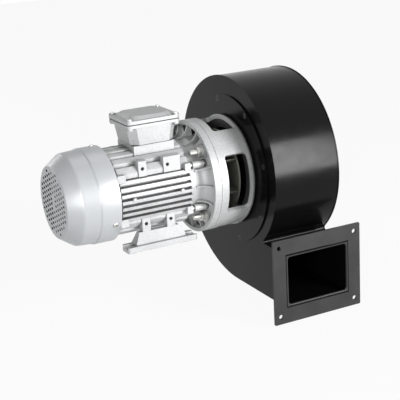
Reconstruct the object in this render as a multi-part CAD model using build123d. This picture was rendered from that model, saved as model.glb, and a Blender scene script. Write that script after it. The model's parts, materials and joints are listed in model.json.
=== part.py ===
from build123d import *
import math
import os

# Centrifugal fan driven by a small foot-and-flange motor through a windowed spacer ring.
# Millimetres. +X runs along the shaft from the motor to the fan casing, +Z is up and the
# outlet points towards -Y. The row origin is on the foot plane, amid the four foot holes.
# Every piece is modelled about the shaft axis and raised by shaft_height when it is saved.

# Clearances
screw_gap = 0.1          # shank to hole, radial
seat_gap = 0.02          # bearing ring, hub or spigot to its seat, radial
ball_gap = 0.05          # ball to raceway and cage, radial
air_gap = 0.5            # rotor core to stator core, radial
shaft_clearance = 0.5    # shaft to the walls it passes through, radial
key_gap = 0.2            # key to the roof of the hub's keyway

# Motor feet
shaft_height = 71.0
foot_pitch_x = 90.0
foot_pitch_y = 112.0
foot_hole_r = 3.5
foot_length = 104.3
foot_inner_edge = 3.7
foot_edge_y = 66.3
foot_base_t = 8.0
foot_pocket = (17.0, 14.0, 2.5)
foot_screw_r = 2.5
foot_head_r = 4.3
foot_head_h = 4.0
foot_screw_inset = 4.5
foot_screw_grip = 5.0
foot_corner_r = 4.0
foot_seat_h = 7.0
foot_web_low = (76.0, 17.0)
foot_web_low_x = 0.5
foot_web_high = (60.0, 8.5)

# Motor frame
frame_rear = -53.0
frame_front = 52.0
barrel_r = 51.0
barrel_wall = 5.0
fin_reach = 9.5
fin_pitch = 8.7
fin_t = 4.4
top_fin_pitch = 11.6
top_fin_t = 6.4
side_fin_drop = 1.7
pad_pitch = 37.0
pad_mid_x = 1.5
pad_width = 12.0
wide_pad_width = 25.0
pad_rise = 0.5
pad_depth = 11.5
pad_low = 28.0
pad_high = 49.0
pad_hole_z = 38.4
pad_hole_r = 2.5
pad_hole_depth = 8.0
tie_angle = 30.6
tie_head_gap = 0.9
lug_size = 10.6
lug_root = 13.5
lug_length = 8.5
rivet_boss_r = 2.6
rivet_boss_h = 1.6
rivet_boss_x = (-35.0, 36.0)
rivet_boss_z = 1.2

# Terminal box
box_x = 12.5
box_y = -1.5
platform_size = (60.0, 54.0)
platform_top = 64.0
platform_root = 38.0
gasket_t = 1.5
box_foot = (64.0, 59.0)
box_head = (72.0, 63.0)
box_depth = 28.5
box_wall = 3.0
box_chamfer = 10.0
rim_h = 4.0
rim_corner_r = 6.0
lid_size = (79.0, 67.0)
lid_t = 4.5
lid_panel_foot = (66.0, 60.0)
lid_panel_head = (56.0, 46.0)
lid_panel_h = 4.5
lid_panel_r = 10.0
lid_lug_r = 4.4
lid_screw_r = 2.0
lid_head_r = 3.0
lid_head_h = 1.6
lid_screw_inset = (5.5, 4.5)
lid_screw_depth = 5.5
lid_lug_h = 1.2
lid_hollow = (56.0, 51.0)
lid_inner_corner_r = 4.0
pillar_r = 4.2
pillar_floor = 1.5
high_gasket_edge = 0.8
low_gasket_edge = 2.5
low_gasket_w = 7.5
wire_hole_r = 7.0
wire_hole_y = 11.0
board_size = (44.0, 26.0, 6.0)
board_lift = 3.0
board_drop = 6.0
board_pad = (6.0, 20.0)
board_pad_x = 17.0
stud_pitch = (13.0, 14.0)
stud_r = 2.0
stud_h = 7.0
stud_nut_flats = 7.0
stud_nut_h = 3.0
gland_bore_r = 4.5
gland_thread_r = 7.0
gland_flats = 20.0
gland_nose_r = 8.0
gland_boss_r = 10.5
gland_boss_l = 5.0
gland_thread_l = 9.0
gland_nut_l = 6.0
gland_nose_l = 9.0
gland_nose_round = 2.5

# Stator and rotor
core_half = 34.0
core_mid = -0.5
rotor_r = 28.0
winding_in_r = 31.0
winding_gap = 5.0
winding_reach = 13.0
cage_ring_w = 6.0
cage_ring_out_r = 27.0
cage_ring_in_r = 18.0

# Bearings, 15 by 35 by 11
bearing_bore_r = 7.5
bearing_out_r = 17.5
bearing_w = 11.0
ball_count = 8
ball_r = 2.95
race_half_gap = 1.9
cage_half_w = 3.6
cage_half_t = 0.9
front_bearing_x = 64.0
rear_bearing_x = -72.0
washer_t = 1.0
washer_out_r = 17.0
washer_in_r = 14.7

# End shields
flange_rear = 76.0
flange_front = 86.0
flange_r = 80.0
flange_rim_w = 5.0
spigot_inset = 25.0
spigot_h = 3.5
spigot_wall = 6.0
cove_lip = 2.0
web_t = 4.0
neck_rise = 4.0
neck_wall = 7.0
rib_t = 2.4
rib_rise = 1.0
rib_start = 2.0
rib_step = 22.5
bolt_inset = 15.0
bolt_r = 4.0
bolt_hole_r = 4.6
bolt_head_flats = 13.0
bolt_head_h = 5.3
nut_h = 6.5
nut_washer_t = 1.6
nut_washer_r = 7.8
nut_pocket_r = 8.8
nut_seat_rise = 1.0
bolt_tail_x = 57.0
bolt_boss_r = 9.5
tie_boss_r = 5.0
tie_boss_front = 71.5
tie_boss_rear = 56.0
tie_boss_run = 6.0
tie_screw_r = 2.5
tie_head_r = 4.2
tie_head_h = 3.6
tie_washer_t = 1.0
tie_depth = 7.0
tie_pocket_r = 5.8
tie_washer_r = 5.5
pocket_inset = (22.0, 7.5)
pocket_half = 29.0
rear_shield_inset = 8.2
rear_shield_t = 3.0
hub_wall_r = 23.0
seal_r = 12.0
seal_w = 4.5
seal_x = 77.5
seal_gap = 0.08
shield_wall_x = 82.0
register_l = 3.0
register_t = 4.0
rear_hub_bore_r = 14.0
rear_hub_wall = 1.0
cover_lug_w = 12.0
cover_lug_l = 8.0
cover_lug_root_r = 50.0
cover_lug_arm_r = 55.0
lug_trim = 8.0

# Motor fan and its cover
cover_rear = -127.4
cover_front = -56.6
cover_end_inset = 16.2
cover_ridge_x = -108.0
cover_ridge_inset = 2.7
cover_step_x = -84.0
cover_step = 1.3
cover_r = 66.2
cover_t = 1.2
slot_size = (3.2, 5.3)
slot_pitch = (6.8, 7.8)
slot_field_edge = 6.0
slot_hub_r = 7.0
cover_screw_x = -65.0
cover_screw_r = 2.0
cover_head_r = 3.6
cover_head_h = 1.8
cover_screw_angle = -25.0
cover_lug_depth = 6.5
motor_fan_inset = 15.2
motor_fan_hub_r = 9.0
motor_fan_rear = -99.0
motor_fan_front = -76.0
motor_fan_blades = 7
motor_fan_blade_reach = 4.0
motor_fan_disc_t = 2.0
motor_fan_blade_t = 2.0

# Shaft
shaft_r = 7.0
shaft_core_r = 9.0
shaft_tail_r = 6.0
shaft_tail_x = -103.0
shaft_nose_inset = 2.0
key_w = 5.0
key_h = 5.0
key_depth = 3.0
key_inset = 2.0
hub_key_inset = 6.0
clip_x = -100.5
clip_t = 1.0
clip_out_r = 8.5
clip_groove = 0.8
seal_land_x = 84.0

# Spacer ring between the motor flange and the casing
lantern_front = 140.5
lantern_wall = 7.0
lantern_rear_t = 8.0
lantern_front_t = 6.0
lantern_mouth_inset = 18.0
lantern_nose_inset = 3.5
shoulder_x = 133.0
window_rear = 97.5
window_front = 133.5
window_half = 30.5
window_corner_r = 5.0
lantern_screw_inset = 12.0
lantern_screw_r = 3.0
lantern_screw_head_r = 5.6
lantern_screw_head_h = 3.0
lantern_chamfer = 1.0

# Cooling wheel
wheel_inset = 20.0
wheel_clearance = 1.7
wheel_disc_x = 124.5
wheel_disc_t = 2.5
wheel_hub_r = 13.0
wheel_blades = 8
wheel_blade_t = 2.0
wheel_phase = 28.0
wheel_screw_r = 2.5
wheel_screw_x = 108.0

# Casing
mount_plate_t = 2.5
mount_plate_r = 108.0
mount_screw_circle_r = 102.0
mount_screw_count = 8
mount_screw_phase = 13.4
mount_screw_r = 2.5
mount_head_r = 4.2
mount_head_h = 1.5
mount_nut_h = 4.0
mount_nut_flats = 8.0
sheet_t = 1.5
plate_lip = 0.8
casing_width = 103.0
volute_step = 13.0
volute_u = 1.5
volute_v = -4.0
volute_r = 131.8
duct_height = 77.9
tongue_r = 3.5
back_opening_r = 96.0
outlet_y = -145.6
flange_t = 3.0
flange_size = (142.0, 122.0)
flange_hole_r = 3.25
flange_corner_r = 1.5

# Inlet
inlet_throat_r = 68.0
inlet_bell_r = 10.0
inlet_throat_length = 12.5
inlet_ring_r = 97.0
inlet_screw_circle_r = 84.0
inlet_screw_count = 6
inlet_duct_circle_r = 91.0
inlet_duct_count = 4
inlet_duct_hole_r = 2.5

# Impeller
impeller_r = 92.0
blade_in_r = 76.0
blade_back = 152.0
blade_length = 75.0
blade_t = 1.0
blade_curve_r = 17.0
blade_sweep = 65.0
blade_count = 36
disc_t = 1.5
ring_in_r = 74.0
hub_r = 15.0
hub_rear = 148.0
hub_front = 180.0
hub_flange_r = 28.0
hub_flange_t = 3.5
rivet_circle_r = 21.5
rivet_count = 6
rivet_r = 2.0
rivet_head_r = 3.2
rivet_head_h = 1.2
end_washer_r = 12.0
end_washer_t = 3.0
end_bolt_r = 3.0
end_bolt_flats = 10.0
end_bolt_head_h = 4.0
end_bolt_depth = 18.0

# Places and sizes that follow from those above
bore_r = barrel_r - barrel_wall
fin_tip_r = barrel_r + fin_reach
pad_face_y = barrel_r + pad_rise
pad_root_y = pad_face_y - pad_depth
foot_screw_y = pad_face_y - foot_screw_inset
foot_width = foot_edge_y - foot_screw_y + foot_inner_edge
winding_out_r = bore_r - winding_gap
tie_circle_r = cover_r - cover_t - tie_head_r - tie_head_gap
lug_y = tie_circle_r * math.cos(math.radians(tie_angle))
lug_z = tie_circle_r * math.sin(math.radians(tie_angle))
rear_shield_r = cover_r - rear_shield_inset
cover_end_r = cover_r - cover_end_inset
cover_ridge_r = cover_r - cover_ridge_inset
slot_field_r = cover_end_r - slot_field_edge
motor_fan_r = cover_r - motor_fan_inset
motor_fan_disc_r = motor_fan_r - motor_fan_blade_reach
neck_r = barrel_r + neck_rise
shield_inner_r = neck_r - neck_wall
flange_rim_r = flange_r - flange_rim_w
spigot_r = flange_r - spigot_inset
shield_mouth_r = spigot_r - spigot_wall
bolt_circle_r = flange_r - bolt_inset
pocket_in_r, pocket_out_r = flange_r - pocket_inset[0], flange_r - pocket_inset[1]
cove_r = flange_rim_r - cove_lip - neck_r
cove_x = flange_rear + web_t - cove_r
rib_cove_r = cove_r - rib_rise
rib_cove_x = cove_x - rib_start
nut_seat_x = flange_rear - nut_seat_rise
lantern_mouth_r = flange_r - lantern_mouth_inset
lantern_nose_r = flange_r - lantern_nose_inset
lantern_screw_circle_r = flange_r - lantern_screw_inset
wheel_r = flange_r - wheel_inset
wheel_rear = flange_front + lantern_rear_t + bolt_head_h + wheel_clearance
shaft_nose_x = hub_front - shaft_nose_inset
gasket_top = platform_top + gasket_t
box_top = gasket_top + box_depth
rim_bottom = box_top - rim_h
lid_bottom = box_top + gasket_t
lid_seat = lid_bottom + lid_t + lid_lug_h
lid_top = lid_bottom + lid_t
mount_plate_front = lantern_front + mount_plate_t
back_plate_front = mount_plate_front + sheet_t
casing_front = mount_plate_front + casing_width
front_plate_rear = casing_front - sheet_t
duct_bottom = volute_v - volute_step / 2 - (volute_r + 2 * volute_step)
duct_top = duct_bottom + duct_height
flange_hole_pitch = ((casing_width + flange_size[0]) / 2, (duct_height + flange_size[1]) / 2)
blade_rear = blade_back + disc_t
blade_front = blade_rear + blade_length
wheel_key = (wheel_rear + key_inset, wheel_disc_x - key_inset)
key_spans = [wheel_key, (blade_back, hub_front - hub_key_inset)]
pad_places = [pad_mid_x - pad_pitch / 2, pad_mid_x + pad_pitch / 2]
board_z = gasket_top + box_wall + board_lift
gland_z = (gasket_top + box_top) / 2
four_corners = [(sx, sy) for sx in (-1, 1) for sy in (-1, 1)]
cover_screw_angles = [cover_screw_angle + 120 * k for k in range(3)]
bolt_angles = [45 + 90 * k for k in range(4)]


# Helpers. Angles run from the -Y side upwards, as seen from the motor end.

def block(x0, x1, y0, y1, z0, z1):
    size = (abs(x1 - x0), abs(y1 - y0), abs(z1 - z0))
    return Pos((x0 + x1) / 2, (y0 + y1) / 2, (z0 + z1) / 2) * Box(*size)


def rod(x0, x1, radius, y=0.0, z=0.0):
    bar = Cylinder(radius, x1 - x0, align=(Align.CENTER, Align.CENTER, Align.MIN))
    return Pos(x0, y, z) * (Rot(0, 90, 0) * bar)


def slab(sketch, x0, x1):
    """Extrude a sketch drawn as seen from the motor end from x0 forward to x1."""
    face = Plane(origin=(x0, 0, 0), x_dir=(0, -1, 0), z_dir=(-1, 0, 0))
    return extrude(face * sketch, amount=-(x1 - x0))


def turned(*edges):
    """Revolve a closed outline of x and radius about the shaft axis."""
    return revolve(Plane.XZ * make_face(Curve() + list(edges)), axis=Axis.X)


def ring(x0, x1, r_out, r_in):
    return turned(Polyline((x0, r_in), (x1, r_in), (x1, r_out), (x0, r_out), close=True))


def polar(radius, angle):
    """Y and Z of a point at a radius and an angle."""
    turn = math.radians(angle)
    return -radius * math.cos(turn), radius * math.sin(turn)


def screw_spots(circle_r, count, phase=0.0):
    return [polar(circle_r, phase + 360 / count * k) for k in range(count)]


def spun(shape, angle):
    """Turn a shape that is modelled above the shaft to its angle."""
    return Rot(90 - angle, 0, 0) * shape


def hexagon(x0, x1, flats, y=0.0, z=0.0):
    sketch = Pos(-y, z) * RegularPolygon(flats / 2, 6, major_radius=False)
    return slab(sketch, x0, x1)


def sector(r_in, r_out, angle, half):
    """Ring sector in the plane seen from the motor end."""
    start = angle - half
    inner = CenterArc((0, 0), r_in, start, 2 * half)
    outer = CenterArc((0, 0), r_out, start, 2 * half)
    return make_face(Curve() + [inner, outer, Line(inner @ 0, outer @ 0), Line(inner @ 1, outer @ 1)])


def upright(radius, z0, z1, x, y):
    return Pos(x, y, z0) * Cylinder(radius, z1 - z0, align=(Align.CENTER, Align.CENTER, Align.MIN))


def countersink(face_x, into, y, z, gap=0.0):
    """Cone of a flush screw head with its wide end at face_x; into is 1 or -1 along the shaft."""
    tip_x, face_r = face_x + into * mount_head_h, mount_head_r + gap
    outline = Polyline((face_x, 0), (face_x, face_r), (tip_x, face_r - mount_head_h), (tip_x, 0), close=True)
    return Pos(0, y, z) * turned(outline)


def tie_places():
    return [(sy * lug_y, sz * lug_z) for sy, sz in four_corners]


# Motor frame and feet

def make_motor_frame():
    tips = Circle(fin_tip_r)
    fins = [Pos(0, k * fin_pitch - side_fin_drop) * Rectangle(2 * fin_tip_r, fin_t)
            for k in range(-3, 4)]
    band = (fin_tip_r + pad_low) / 2
    for k in range(-4, 5):
        for side in (-1, 1):
            fins.append(Pos(k * top_fin_pitch, side * band) * Rectangle(top_fin_t, fin_tip_r - pad_low))
    section = Circle(barrel_r) + [fin & tips for fin in fins]
    frame = slab(section, frame_rear, frame_front)
    half = pad_width / 2
    adds = []
    for x in pad_places:
        for sy, sz in four_corners:
            adds.append(block(x - half, x + half, sy * pad_root_y, sy * pad_face_y,
                              sz * pad_low, sz * pad_high))
    wide_start = pad_places[1] - half
    for side in (-1, 1):
        adds.append(block(wide_start, wide_start + wide_pad_width, side * pad_root_y, side * pad_face_y,
                          pad_low, pad_high))
    for y, z in tie_places():
        for x0, x1 in ((frame_rear, frame_rear + lug_length), (frame_front - lug_length, frame_front)):
            y_in, y_out = y - math.copysign(lug_root, y), y + math.copysign(lug_size / 2, y)
            adds.append(block(x0, x1, y_in, y_out, z - lug_size / 2, z + lug_size / 2))
    half_x, half_y = platform_size[0] / 2, platform_size[1] / 2
    adds.append(block(box_x - half_x, box_x + half_x, box_y - half_y, box_y + half_y,
                      platform_root, platform_top))
    peg_l = fin_tip_r - barrel_r + rivet_boss_h
    for x in rivet_boss_x:
        peg = Cylinder(rivet_boss_r, peg_l, align=(Align.CENTER, Align.CENTER, Align.MAX))
        adds.append(Pos(x, -fin_tip_r - rivet_boss_h, rivet_boss_z) * (Rot(90, 0, 0) * peg))
    frame = frame + adds
    cuts = [rod(frame_rear - 1, frame_front + 1, bore_r)]
    for x in pad_places:
        for sy, sz in four_corners:
            hole = Rot(90, 0, 0) * Cylinder(pad_hole_r, 2 * pad_hole_depth)
            cuts.append(Pos(x, sy * pad_face_y, sz * pad_hole_z) * hole)
        for side in (-1, 1):
            cuts.append(upright(foot_screw_r + screw_gap, -pad_high - 1, -pad_high + foot_screw_grip + 1,
                                x, side * foot_screw_y))
    for y, z in tie_places():
        cuts.append(rod(frame_rear - 1, frame_rear + tie_depth + 1, tie_screw_r + screw_gap, y, z))
        cuts.append(rod(frame_front - tie_depth - 1, frame_front + 1, tie_screw_r + screw_gap, y, z))
    cuts.append(upright(wire_hole_r, 0, platform_top + 1, box_x, box_y + wire_hole_y))
    return frame - cuts


def make_foot(side):
    """Foot casting at the -Y side for side -1 or the +Y side for side 1."""
    mid_y = foot_edge_y - foot_width / 2
    base_z = -shaft_height
    base = extrude(Pos(0, mid_y, base_z) * RectangleRounded(foot_length, foot_width, foot_corner_r),
                   amount=foot_base_t)
    top_z = base_z + foot_base_t
    low_y = foot_edge_y - foot_width + foot_web_low[1] / 2
    low = Pos(foot_web_low_x, low_y, top_z) * Rectangle(*foot_web_low)
    high = Pos(pad_mid_x, pad_face_y - foot_web_high[1] / 2, -pad_high) * Rectangle(*foot_web_high)
    foot = base + loft([low, high])
    cuts = []
    for end in (-1, 1):
        spot = (end * foot_pitch_x / 2, foot_pitch_y / 2)
        cuts.append(upright(foot_hole_r, base_z - 1, top_z + 1, *spot))
        pocket = Box(*foot_pocket[:2], 2 * foot_pocket[2])
        cuts.append(Pos(*spot, top_z) * pocket)
    for x in pad_places:
        cuts.append(upright(foot_head_r + screw_gap, base_z - 1, base_z + foot_seat_h, x, foot_screw_y))
        cuts.append(upright(foot_screw_r + screw_gap, base_z, -pad_high + 1, x, foot_screw_y))
    foot = foot - cuts
    return foot if side > 0 else mirror(foot, about=Plane.XZ)


def make_foot_screws():
    screws = []
    seat = -shaft_height + foot_seat_h
    for x in pad_places:
        for side in (-1, 1):
            shank = upright(foot_screw_r, seat, -pad_high + foot_screw_grip, x, side * foot_screw_y)
            screws.append(shank + upright(foot_head_r, seat - foot_head_h, seat, x, side * foot_screw_y))
    return screws


# Terminal box

def box_level(size, z, inset=0.0):
    """Outline of the box at a height, with its four corners cut off."""
    face = Rectangle(size[0] - 2 * inset, size[1] - 2 * inset)
    return Pos(box_x, box_y, z) * chamfer(face.vertices(), box_chamfer - inset / 2)


def rounded_level(size, z, corner_r):
    return Pos(box_x, box_y, z) * RectangleRounded(*size, corner_r)


def lid_places():
    reach = (lid_size[0] / 2 - lid_screw_inset[0], lid_size[1] / 2 - lid_screw_inset[1])
    return [(box_x + sx * reach[0], box_y + sy * reach[1]) for sx, sy in four_corners]


def make_terminal_box():
    z0 = gasket_top
    outer = loft([box_level(box_foot, z0), box_level(box_head, rim_bottom)])
    outer = outer + extrude(rounded_level(lid_size, rim_bottom, rim_corner_r), amount=rim_h)
    inner = loft([box_level(box_foot, z0 + box_wall, box_wall),
                  box_level(box_head, box_top + seat_gap, box_wall)])
    pillar_foot = box_top - lid_screw_depth - pillar_floor
    pillars = [upright(pillar_r, pillar_foot, box_top, x, y) for x, y in lid_places()]
    boss_y = box_y + box_head[1] / 2
    boss = Pos(box_x, boss_y, gland_z) * (Rot(90, 0, 0) * Cylinder(gland_boss_r, 2 * gland_boss_l))
    pad = Pos(0, -board_drop, (z0 + 1 + board_z) / 2) * Box(*board_pad, board_z - z0 - 1)
    pads = [Pos(box_x + side * board_pad_x, box_y, 0) * pad for side in (-1, 1)]
    body = (outer + pillars - inner) + [boss] + pads
    holes = [upright(lid_screw_r + screw_gap, box_top - lid_screw_depth, box_top + 1, x, y)
             for x, y in lid_places()]
    holes.append(upright(wire_hole_r, z0 - 1, z0 + box_wall + 1, box_x, box_y + wire_hole_y))
    gland_hole = Rot(90, 0, 0) * Cylinder(gland_thread_r + screw_gap, 2 * (gland_boss_r + 1.5))
    holes.append(Pos(box_x, boss_y, gland_z) * gland_hole)
    return body - holes


def make_box_gaskets():
    low_hole = box_level(box_foot, platform_top, low_gasket_edge + low_gasket_w)
    low = extrude(box_level(box_foot, platform_top, low_gasket_edge) - low_hole, amount=gasket_t)
    edge = 2 * high_gasket_edge
    high_face = rounded_level((lid_size[0] - edge, lid_size[1] - edge), box_top, rim_corner_r)
    high = extrude(high_face - box_level(box_head, box_top, box_wall), amount=gasket_t)
    holes = [upright(lid_screw_r + screw_gap, box_top - 1, lid_bottom + 1, x, y) for x, y in lid_places()]
    return [low, high - holes]


def make_terminal_lid():
    plate = extrude(rounded_level(lid_size, lid_bottom, rim_corner_r), amount=lid_t)
    panel = loft([rounded_level(lid_panel_foot, lid_top, lid_panel_r),
                  rounded_level(lid_panel_head, lid_top + lid_panel_h, lid_panel_r)])
    lugs = [upright(lid_lug_r, lid_bottom, lid_seat, x, y) for x, y in lid_places()]
    lid = plate + panel + lugs
    hollow = rounded_level(lid_hollow, lid_bottom - 1, lid_inner_corner_r)
    holes = [upright(lid_screw_r + screw_gap, lid_bottom - 1, lid_seat + 1, x, y) for x, y in lid_places()]
    return lid - [extrude(hollow, amount=lid_t + 1)] - holes


def make_lid_screws():
    screws = []
    for x, y in lid_places():
        head = upright(lid_head_r, lid_seat, lid_seat + lid_head_h, x, y)
        screws.append(head + upright(lid_screw_r, box_top - lid_screw_depth, lid_seat, x, y))
    return screws


def make_terminal_board():
    return Pos(box_x, box_y - board_drop, board_z + board_size[2] / 2) * Box(*board_size)


def make_terminal_studs():
    z0 = board_z + board_size[2]
    studs = []
    for column in (-1, 0, 1):
        for row in (-1, 1):
            x, y = box_x + stud_pitch[0] * column, box_y - board_drop + stud_pitch[1] / 2 * row
            flats = RegularPolygon(stud_nut_flats / 2, 6, major_radius=False)
            nut = extrude(Pos(x, y, z0) * flats, amount=stud_nut_h)
            studs.append(nut + upright(stud_r, z0, z0 + stud_h, x, y))
    return studs


def make_cable_gland():
    """Gland on the +Y side of the box, with its bore open for the supply cable."""
    y0 = box_y + box_head[1] / 2 + gland_boss_l
    axis = Plane(origin=(box_x, y0, gland_z), x_dir=(1, 0, 0), z_dir=(0, 1, 0))
    nut = extrude(axis * RegularPolygon(gland_flats / 2, 6, major_radius=False), amount=gland_nut_l)
    dome = extrude(axis.offset(gland_nut_l) * Circle(gland_nose_r), amount=gland_nose_l)
    dome = fillet(dome.faces().sort_by(Axis.Y)[-1].edges(), gland_nose_round)
    thread = extrude(axis.offset(-gland_thread_l) * Circle(gland_thread_r), amount=gland_thread_l)
    length = gland_thread_l + gland_nut_l + gland_nose_l
    return nut + dome + thread - extrude(axis.offset(-gland_thread_l) * Circle(gland_bore_r), amount=length)


# Stator, rotor and bearings

def make_stator_core():
    return ring(core_mid - core_half, core_mid + core_half, bore_r - seat_gap, rotor_r + air_gap)


def make_stator_windings():
    coils = []
    for end in (-1, 1):
        x0 = core_mid + end * core_half
        coil = ring(min(x0, x0 + end * winding_reach), max(x0, x0 + end * winding_reach), winding_out_r,
                    winding_in_r)
        coils.append(coil)
    return coils


def make_rotor_core():
    core = ring(core_mid - core_half, core_mid + core_half, rotor_r, shaft_core_r + seat_gap)
    front, rear = core_mid + core_half, core_mid - core_half
    ends = [ring(front, front + cage_ring_w, cage_ring_out_r, cage_ring_in_r),
            ring(rear - cage_ring_w, rear, cage_ring_out_r, cage_ring_in_r)]
    return core + ends


def bearing_pitch_r():
    return (bearing_bore_r + bearing_out_r) / 2


def make_bearing(x0):
    """Outer ring, inner ring and the set of balls with their cage."""
    x1, mid, pitch_r = x0 + bearing_w, x0 + bearing_w / 2, bearing_pitch_r()
    groove = Pos(mid, pitch_r) * Circle(ball_r + ball_gap)

    def race(r0, r1):
        outline = Pos(mid, (r0 + r1) / 2) * Rectangle(bearing_w, r1 - r0)
        return revolve(Plane.XZ * (outline - groove), axis=Axis.X)

    outer = race(pitch_r + race_half_gap, bearing_out_r - seat_gap)
    inner = race(bearing_bore_r + seat_gap, pitch_r - race_half_gap)
    spots = [polar(pitch_r, 360 / ball_count * k) for k in range(ball_count)]
    balls = [Pos(mid, y, z) * Sphere(ball_r) for y, z in spots]
    pocket = upright(ball_r + ball_gap, pitch_r - ball_r, pitch_r + ball_r, mid, 0)
    pockets = [spun(pocket, 360 / ball_count * k) for k in range(ball_count)]
    cage = ring(mid - cage_half_w, mid + cage_half_w, pitch_r + cage_half_t, pitch_r - cage_half_t) - pockets
    return outer, inner, balls + [cage]


def keyway(x0, x1, radius):
    return block(x0, x1, -key_w / 2, key_w / 2, shaft_r - key_depth, radius)


def make_shaft():
    steps = [(shaft_tail_x, shaft_tail_r), (motor_fan_front, shaft_tail_r),
             (motor_fan_front, bearing_bore_r), (rear_bearing_x + bearing_w, bearing_bore_r),
             (rear_bearing_x + bearing_w, shaft_core_r),
             (front_bearing_x, shaft_core_r), (front_bearing_x, bearing_bore_r),
             (seal_land_x, bearing_bore_r), (seal_land_x, shaft_r), (shaft_nose_x, shaft_r)]
    shaft = turned(Polyline((shaft_tail_x, 0), *steps, (shaft_nose_x, 0), close=True))
    cuts = [keyway(x0, x1, shaft_r + 1) for x0, x1 in key_spans]
    cuts.append(rod(shaft_nose_x - end_bolt_depth, shaft_nose_x + 1, end_bolt_r + screw_gap))
    half = clip_t / 2 + seat_gap
    cuts.append(ring(clip_x - half, clip_x + half, shaft_tail_r + 1, shaft_tail_r - clip_groove))
    return shaft - cuts


def make_shaft_keys():
    top = shaft_r - key_depth + key_h
    keys = []
    for x0, x1 in key_spans:
        keys.append(block(x0 + seat_gap, x1 - seat_gap, -key_w / 2 + seat_gap, key_w / 2 - seat_gap,
                          shaft_r - key_depth, top))
    return keys


def hub_keyway(x0, x1):
    top = shaft_r - key_depth + key_h + key_gap
    return block(x0, x1, -key_w / 2, key_w / 2, 0, top)


# End shields

def make_front_flange_shield():
    bearing_end = front_bearing_x + bearing_w
    cove = CenterArc((cove_x, neck_r + cove_r), cove_r, -90, 90)
    points = [cove @ 1, (cove_x + cove_r, flange_rim_r), (flange_rear, flange_rim_r),
              (flange_rear, flange_r), (flange_front, flange_r), (flange_front, spigot_r),
              (flange_front + spigot_h, spigot_r), (flange_front + spigot_h, shield_mouth_r),
              (shield_wall_x, shield_mouth_r), (shield_wall_x, seal_r),
              (seal_x, seal_r), (seal_x, bearing_bore_r + shaft_clearance),
              (bearing_end, bearing_bore_r + shaft_clearance), (bearing_end, bearing_out_r),
              (front_bearing_x - 2, bearing_out_r), (front_bearing_x - 2, hub_wall_r),
              (flange_rear, hub_wall_r), (flange_rear, shield_inner_r),
              (frame_front + register_l, shield_inner_r), (frame_front + register_l, bore_r - register_t),
              (frame_front - register_l, bore_r - register_t),
              (frame_front - register_l, bore_r - seat_gap), (frame_front, bore_r - seat_gap),
              (frame_front, neck_r + 1), cove @ 0]
    shell = turned(cove, Polyline(*points))
    bolt_spots = screw_spots(bolt_circle_r, 4, bolt_angles[0])
    bosses = [rod(nut_seat_x, flange_front, bolt_boss_r, y, z) for y, z in bolt_spots]
    ties = [rod(tie_boss_rear, tie_boss_front + tie_boss_run, tie_boss_r, y, z) for y, z in tie_places()]
    shell = shell + ties
    pockets = [slab(sector(pocket_in_r, pocket_out_r, angle, pocket_half), cove_x - 4, flange_front + 1)
               for angle in (90, 270)]
    rib_cove = CenterArc((rib_cove_x, neck_r + 2 + rib_cove_r), rib_cove_r, -90, 90)
    rib_top, rib_root, rib_front = flange_rim_r + 1, neck_r - 3, flange_front - 2
    rib_edge = Polyline(rib_cove @ 1, (rib_cove_x + rib_cove_r, rib_top), (rib_front, rib_top),
                        (rib_front, rib_root), (rib_cove_x, rib_root), rib_cove @ 0)
    rib = extrude(Plane.XZ * make_face(Curve() + [rib_cove, rib_edge]), amount=rib_t / 2, both=True)
    rib_angles = [k * rib_step for k in range(16) if k % 4 != 2]
    ribs = [spun(rib, angle) for angle in rib_angles]
    nut_pockets = [rod(cove_x - 4, nut_seat_x, nut_pocket_r, y, z) for y, z in bolt_spots]
    tie_pockets = [rod(tie_boss_front, tie_boss_front + tie_boss_run, tie_pocket_r, y, z)
                   for y, z in tie_places()]
    holes = [rod(nut_seat_x - 1, flange_front + 1, bolt_hole_r, y, z) for y, z in bolt_spots]
    holes += [rod(tie_boss_rear - 1, tie_boss_front + 1, tie_screw_r + screw_gap, y, z)
              for y, z in tie_places()]
    return ((shell - pockets) + ribs + bosses) - nut_pockets - tie_pockets - holes


def make_front_oil_seal():
    return ring(seal_x, seal_x + seal_w, seal_r - seat_gap, bearing_bore_r + seal_gap)


def make_rear_end_shield():
    x0 = frame_rear - rear_shield_t
    hub_end = rear_bearing_x - rear_hub_wall
    bearing_front = rear_bearing_x + bearing_w + washer_t
    register_end = frame_rear + register_l
    points = [(frame_rear, rear_shield_r), (frame_rear, bore_r - seat_gap),
              (register_end, bore_r - seat_gap), (register_end, bore_r - register_t),
              (frame_rear, bore_r - register_t), (frame_rear, rear_hub_bore_r),
              (bearing_front, rear_hub_bore_r), (bearing_front, bearing_out_r), (hub_end, bearing_out_r),
              (hub_end, hub_wall_r), (x0, hub_wall_r), (x0, rear_shield_r)]
    shield = turned(Polyline(*points, close=True))
    lug_top = cover_r - cover_t
    lug_start = cover_screw_x - cover_lug_l / 2 - 1
    half = cover_lug_w / 2
    adds = []
    for angle in cover_screw_angles:
        arm = block(lug_start, x0 + 1, -half, half, cover_lug_root_r, cover_lug_arm_r)
        nose = block(lug_start, lug_start + cover_lug_l, -half, half, cover_lug_root_r, lug_top + 1)
        adds.append(spun(arm + nose, angle))
    corner_lugs = [block(x0, frame_rear, y - math.copysign(lug_root, y), y + math.copysign(lug_size / 2, y),
                         z - lug_size / 2, z + lug_size / 2) for y, z in tie_places()]
    shield = shield + adds + corner_lugs
    trim = ring(lug_start - 1, lug_start + cover_lug_l + 1, lug_top + lug_trim, lug_top - seat_gap)
    holes = [rod(x0 - 1, frame_rear + 1, tie_screw_r + screw_gap, y, z) for y, z in tie_places()]
    for angle in cover_screw_angles:
        hole = upright(cover_screw_r + screw_gap, lug_top - cover_lug_depth, lug_top + 2, cover_screw_x, 0)
        holes.append(spun(hole, angle))
    return shield - [trim] - holes


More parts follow.
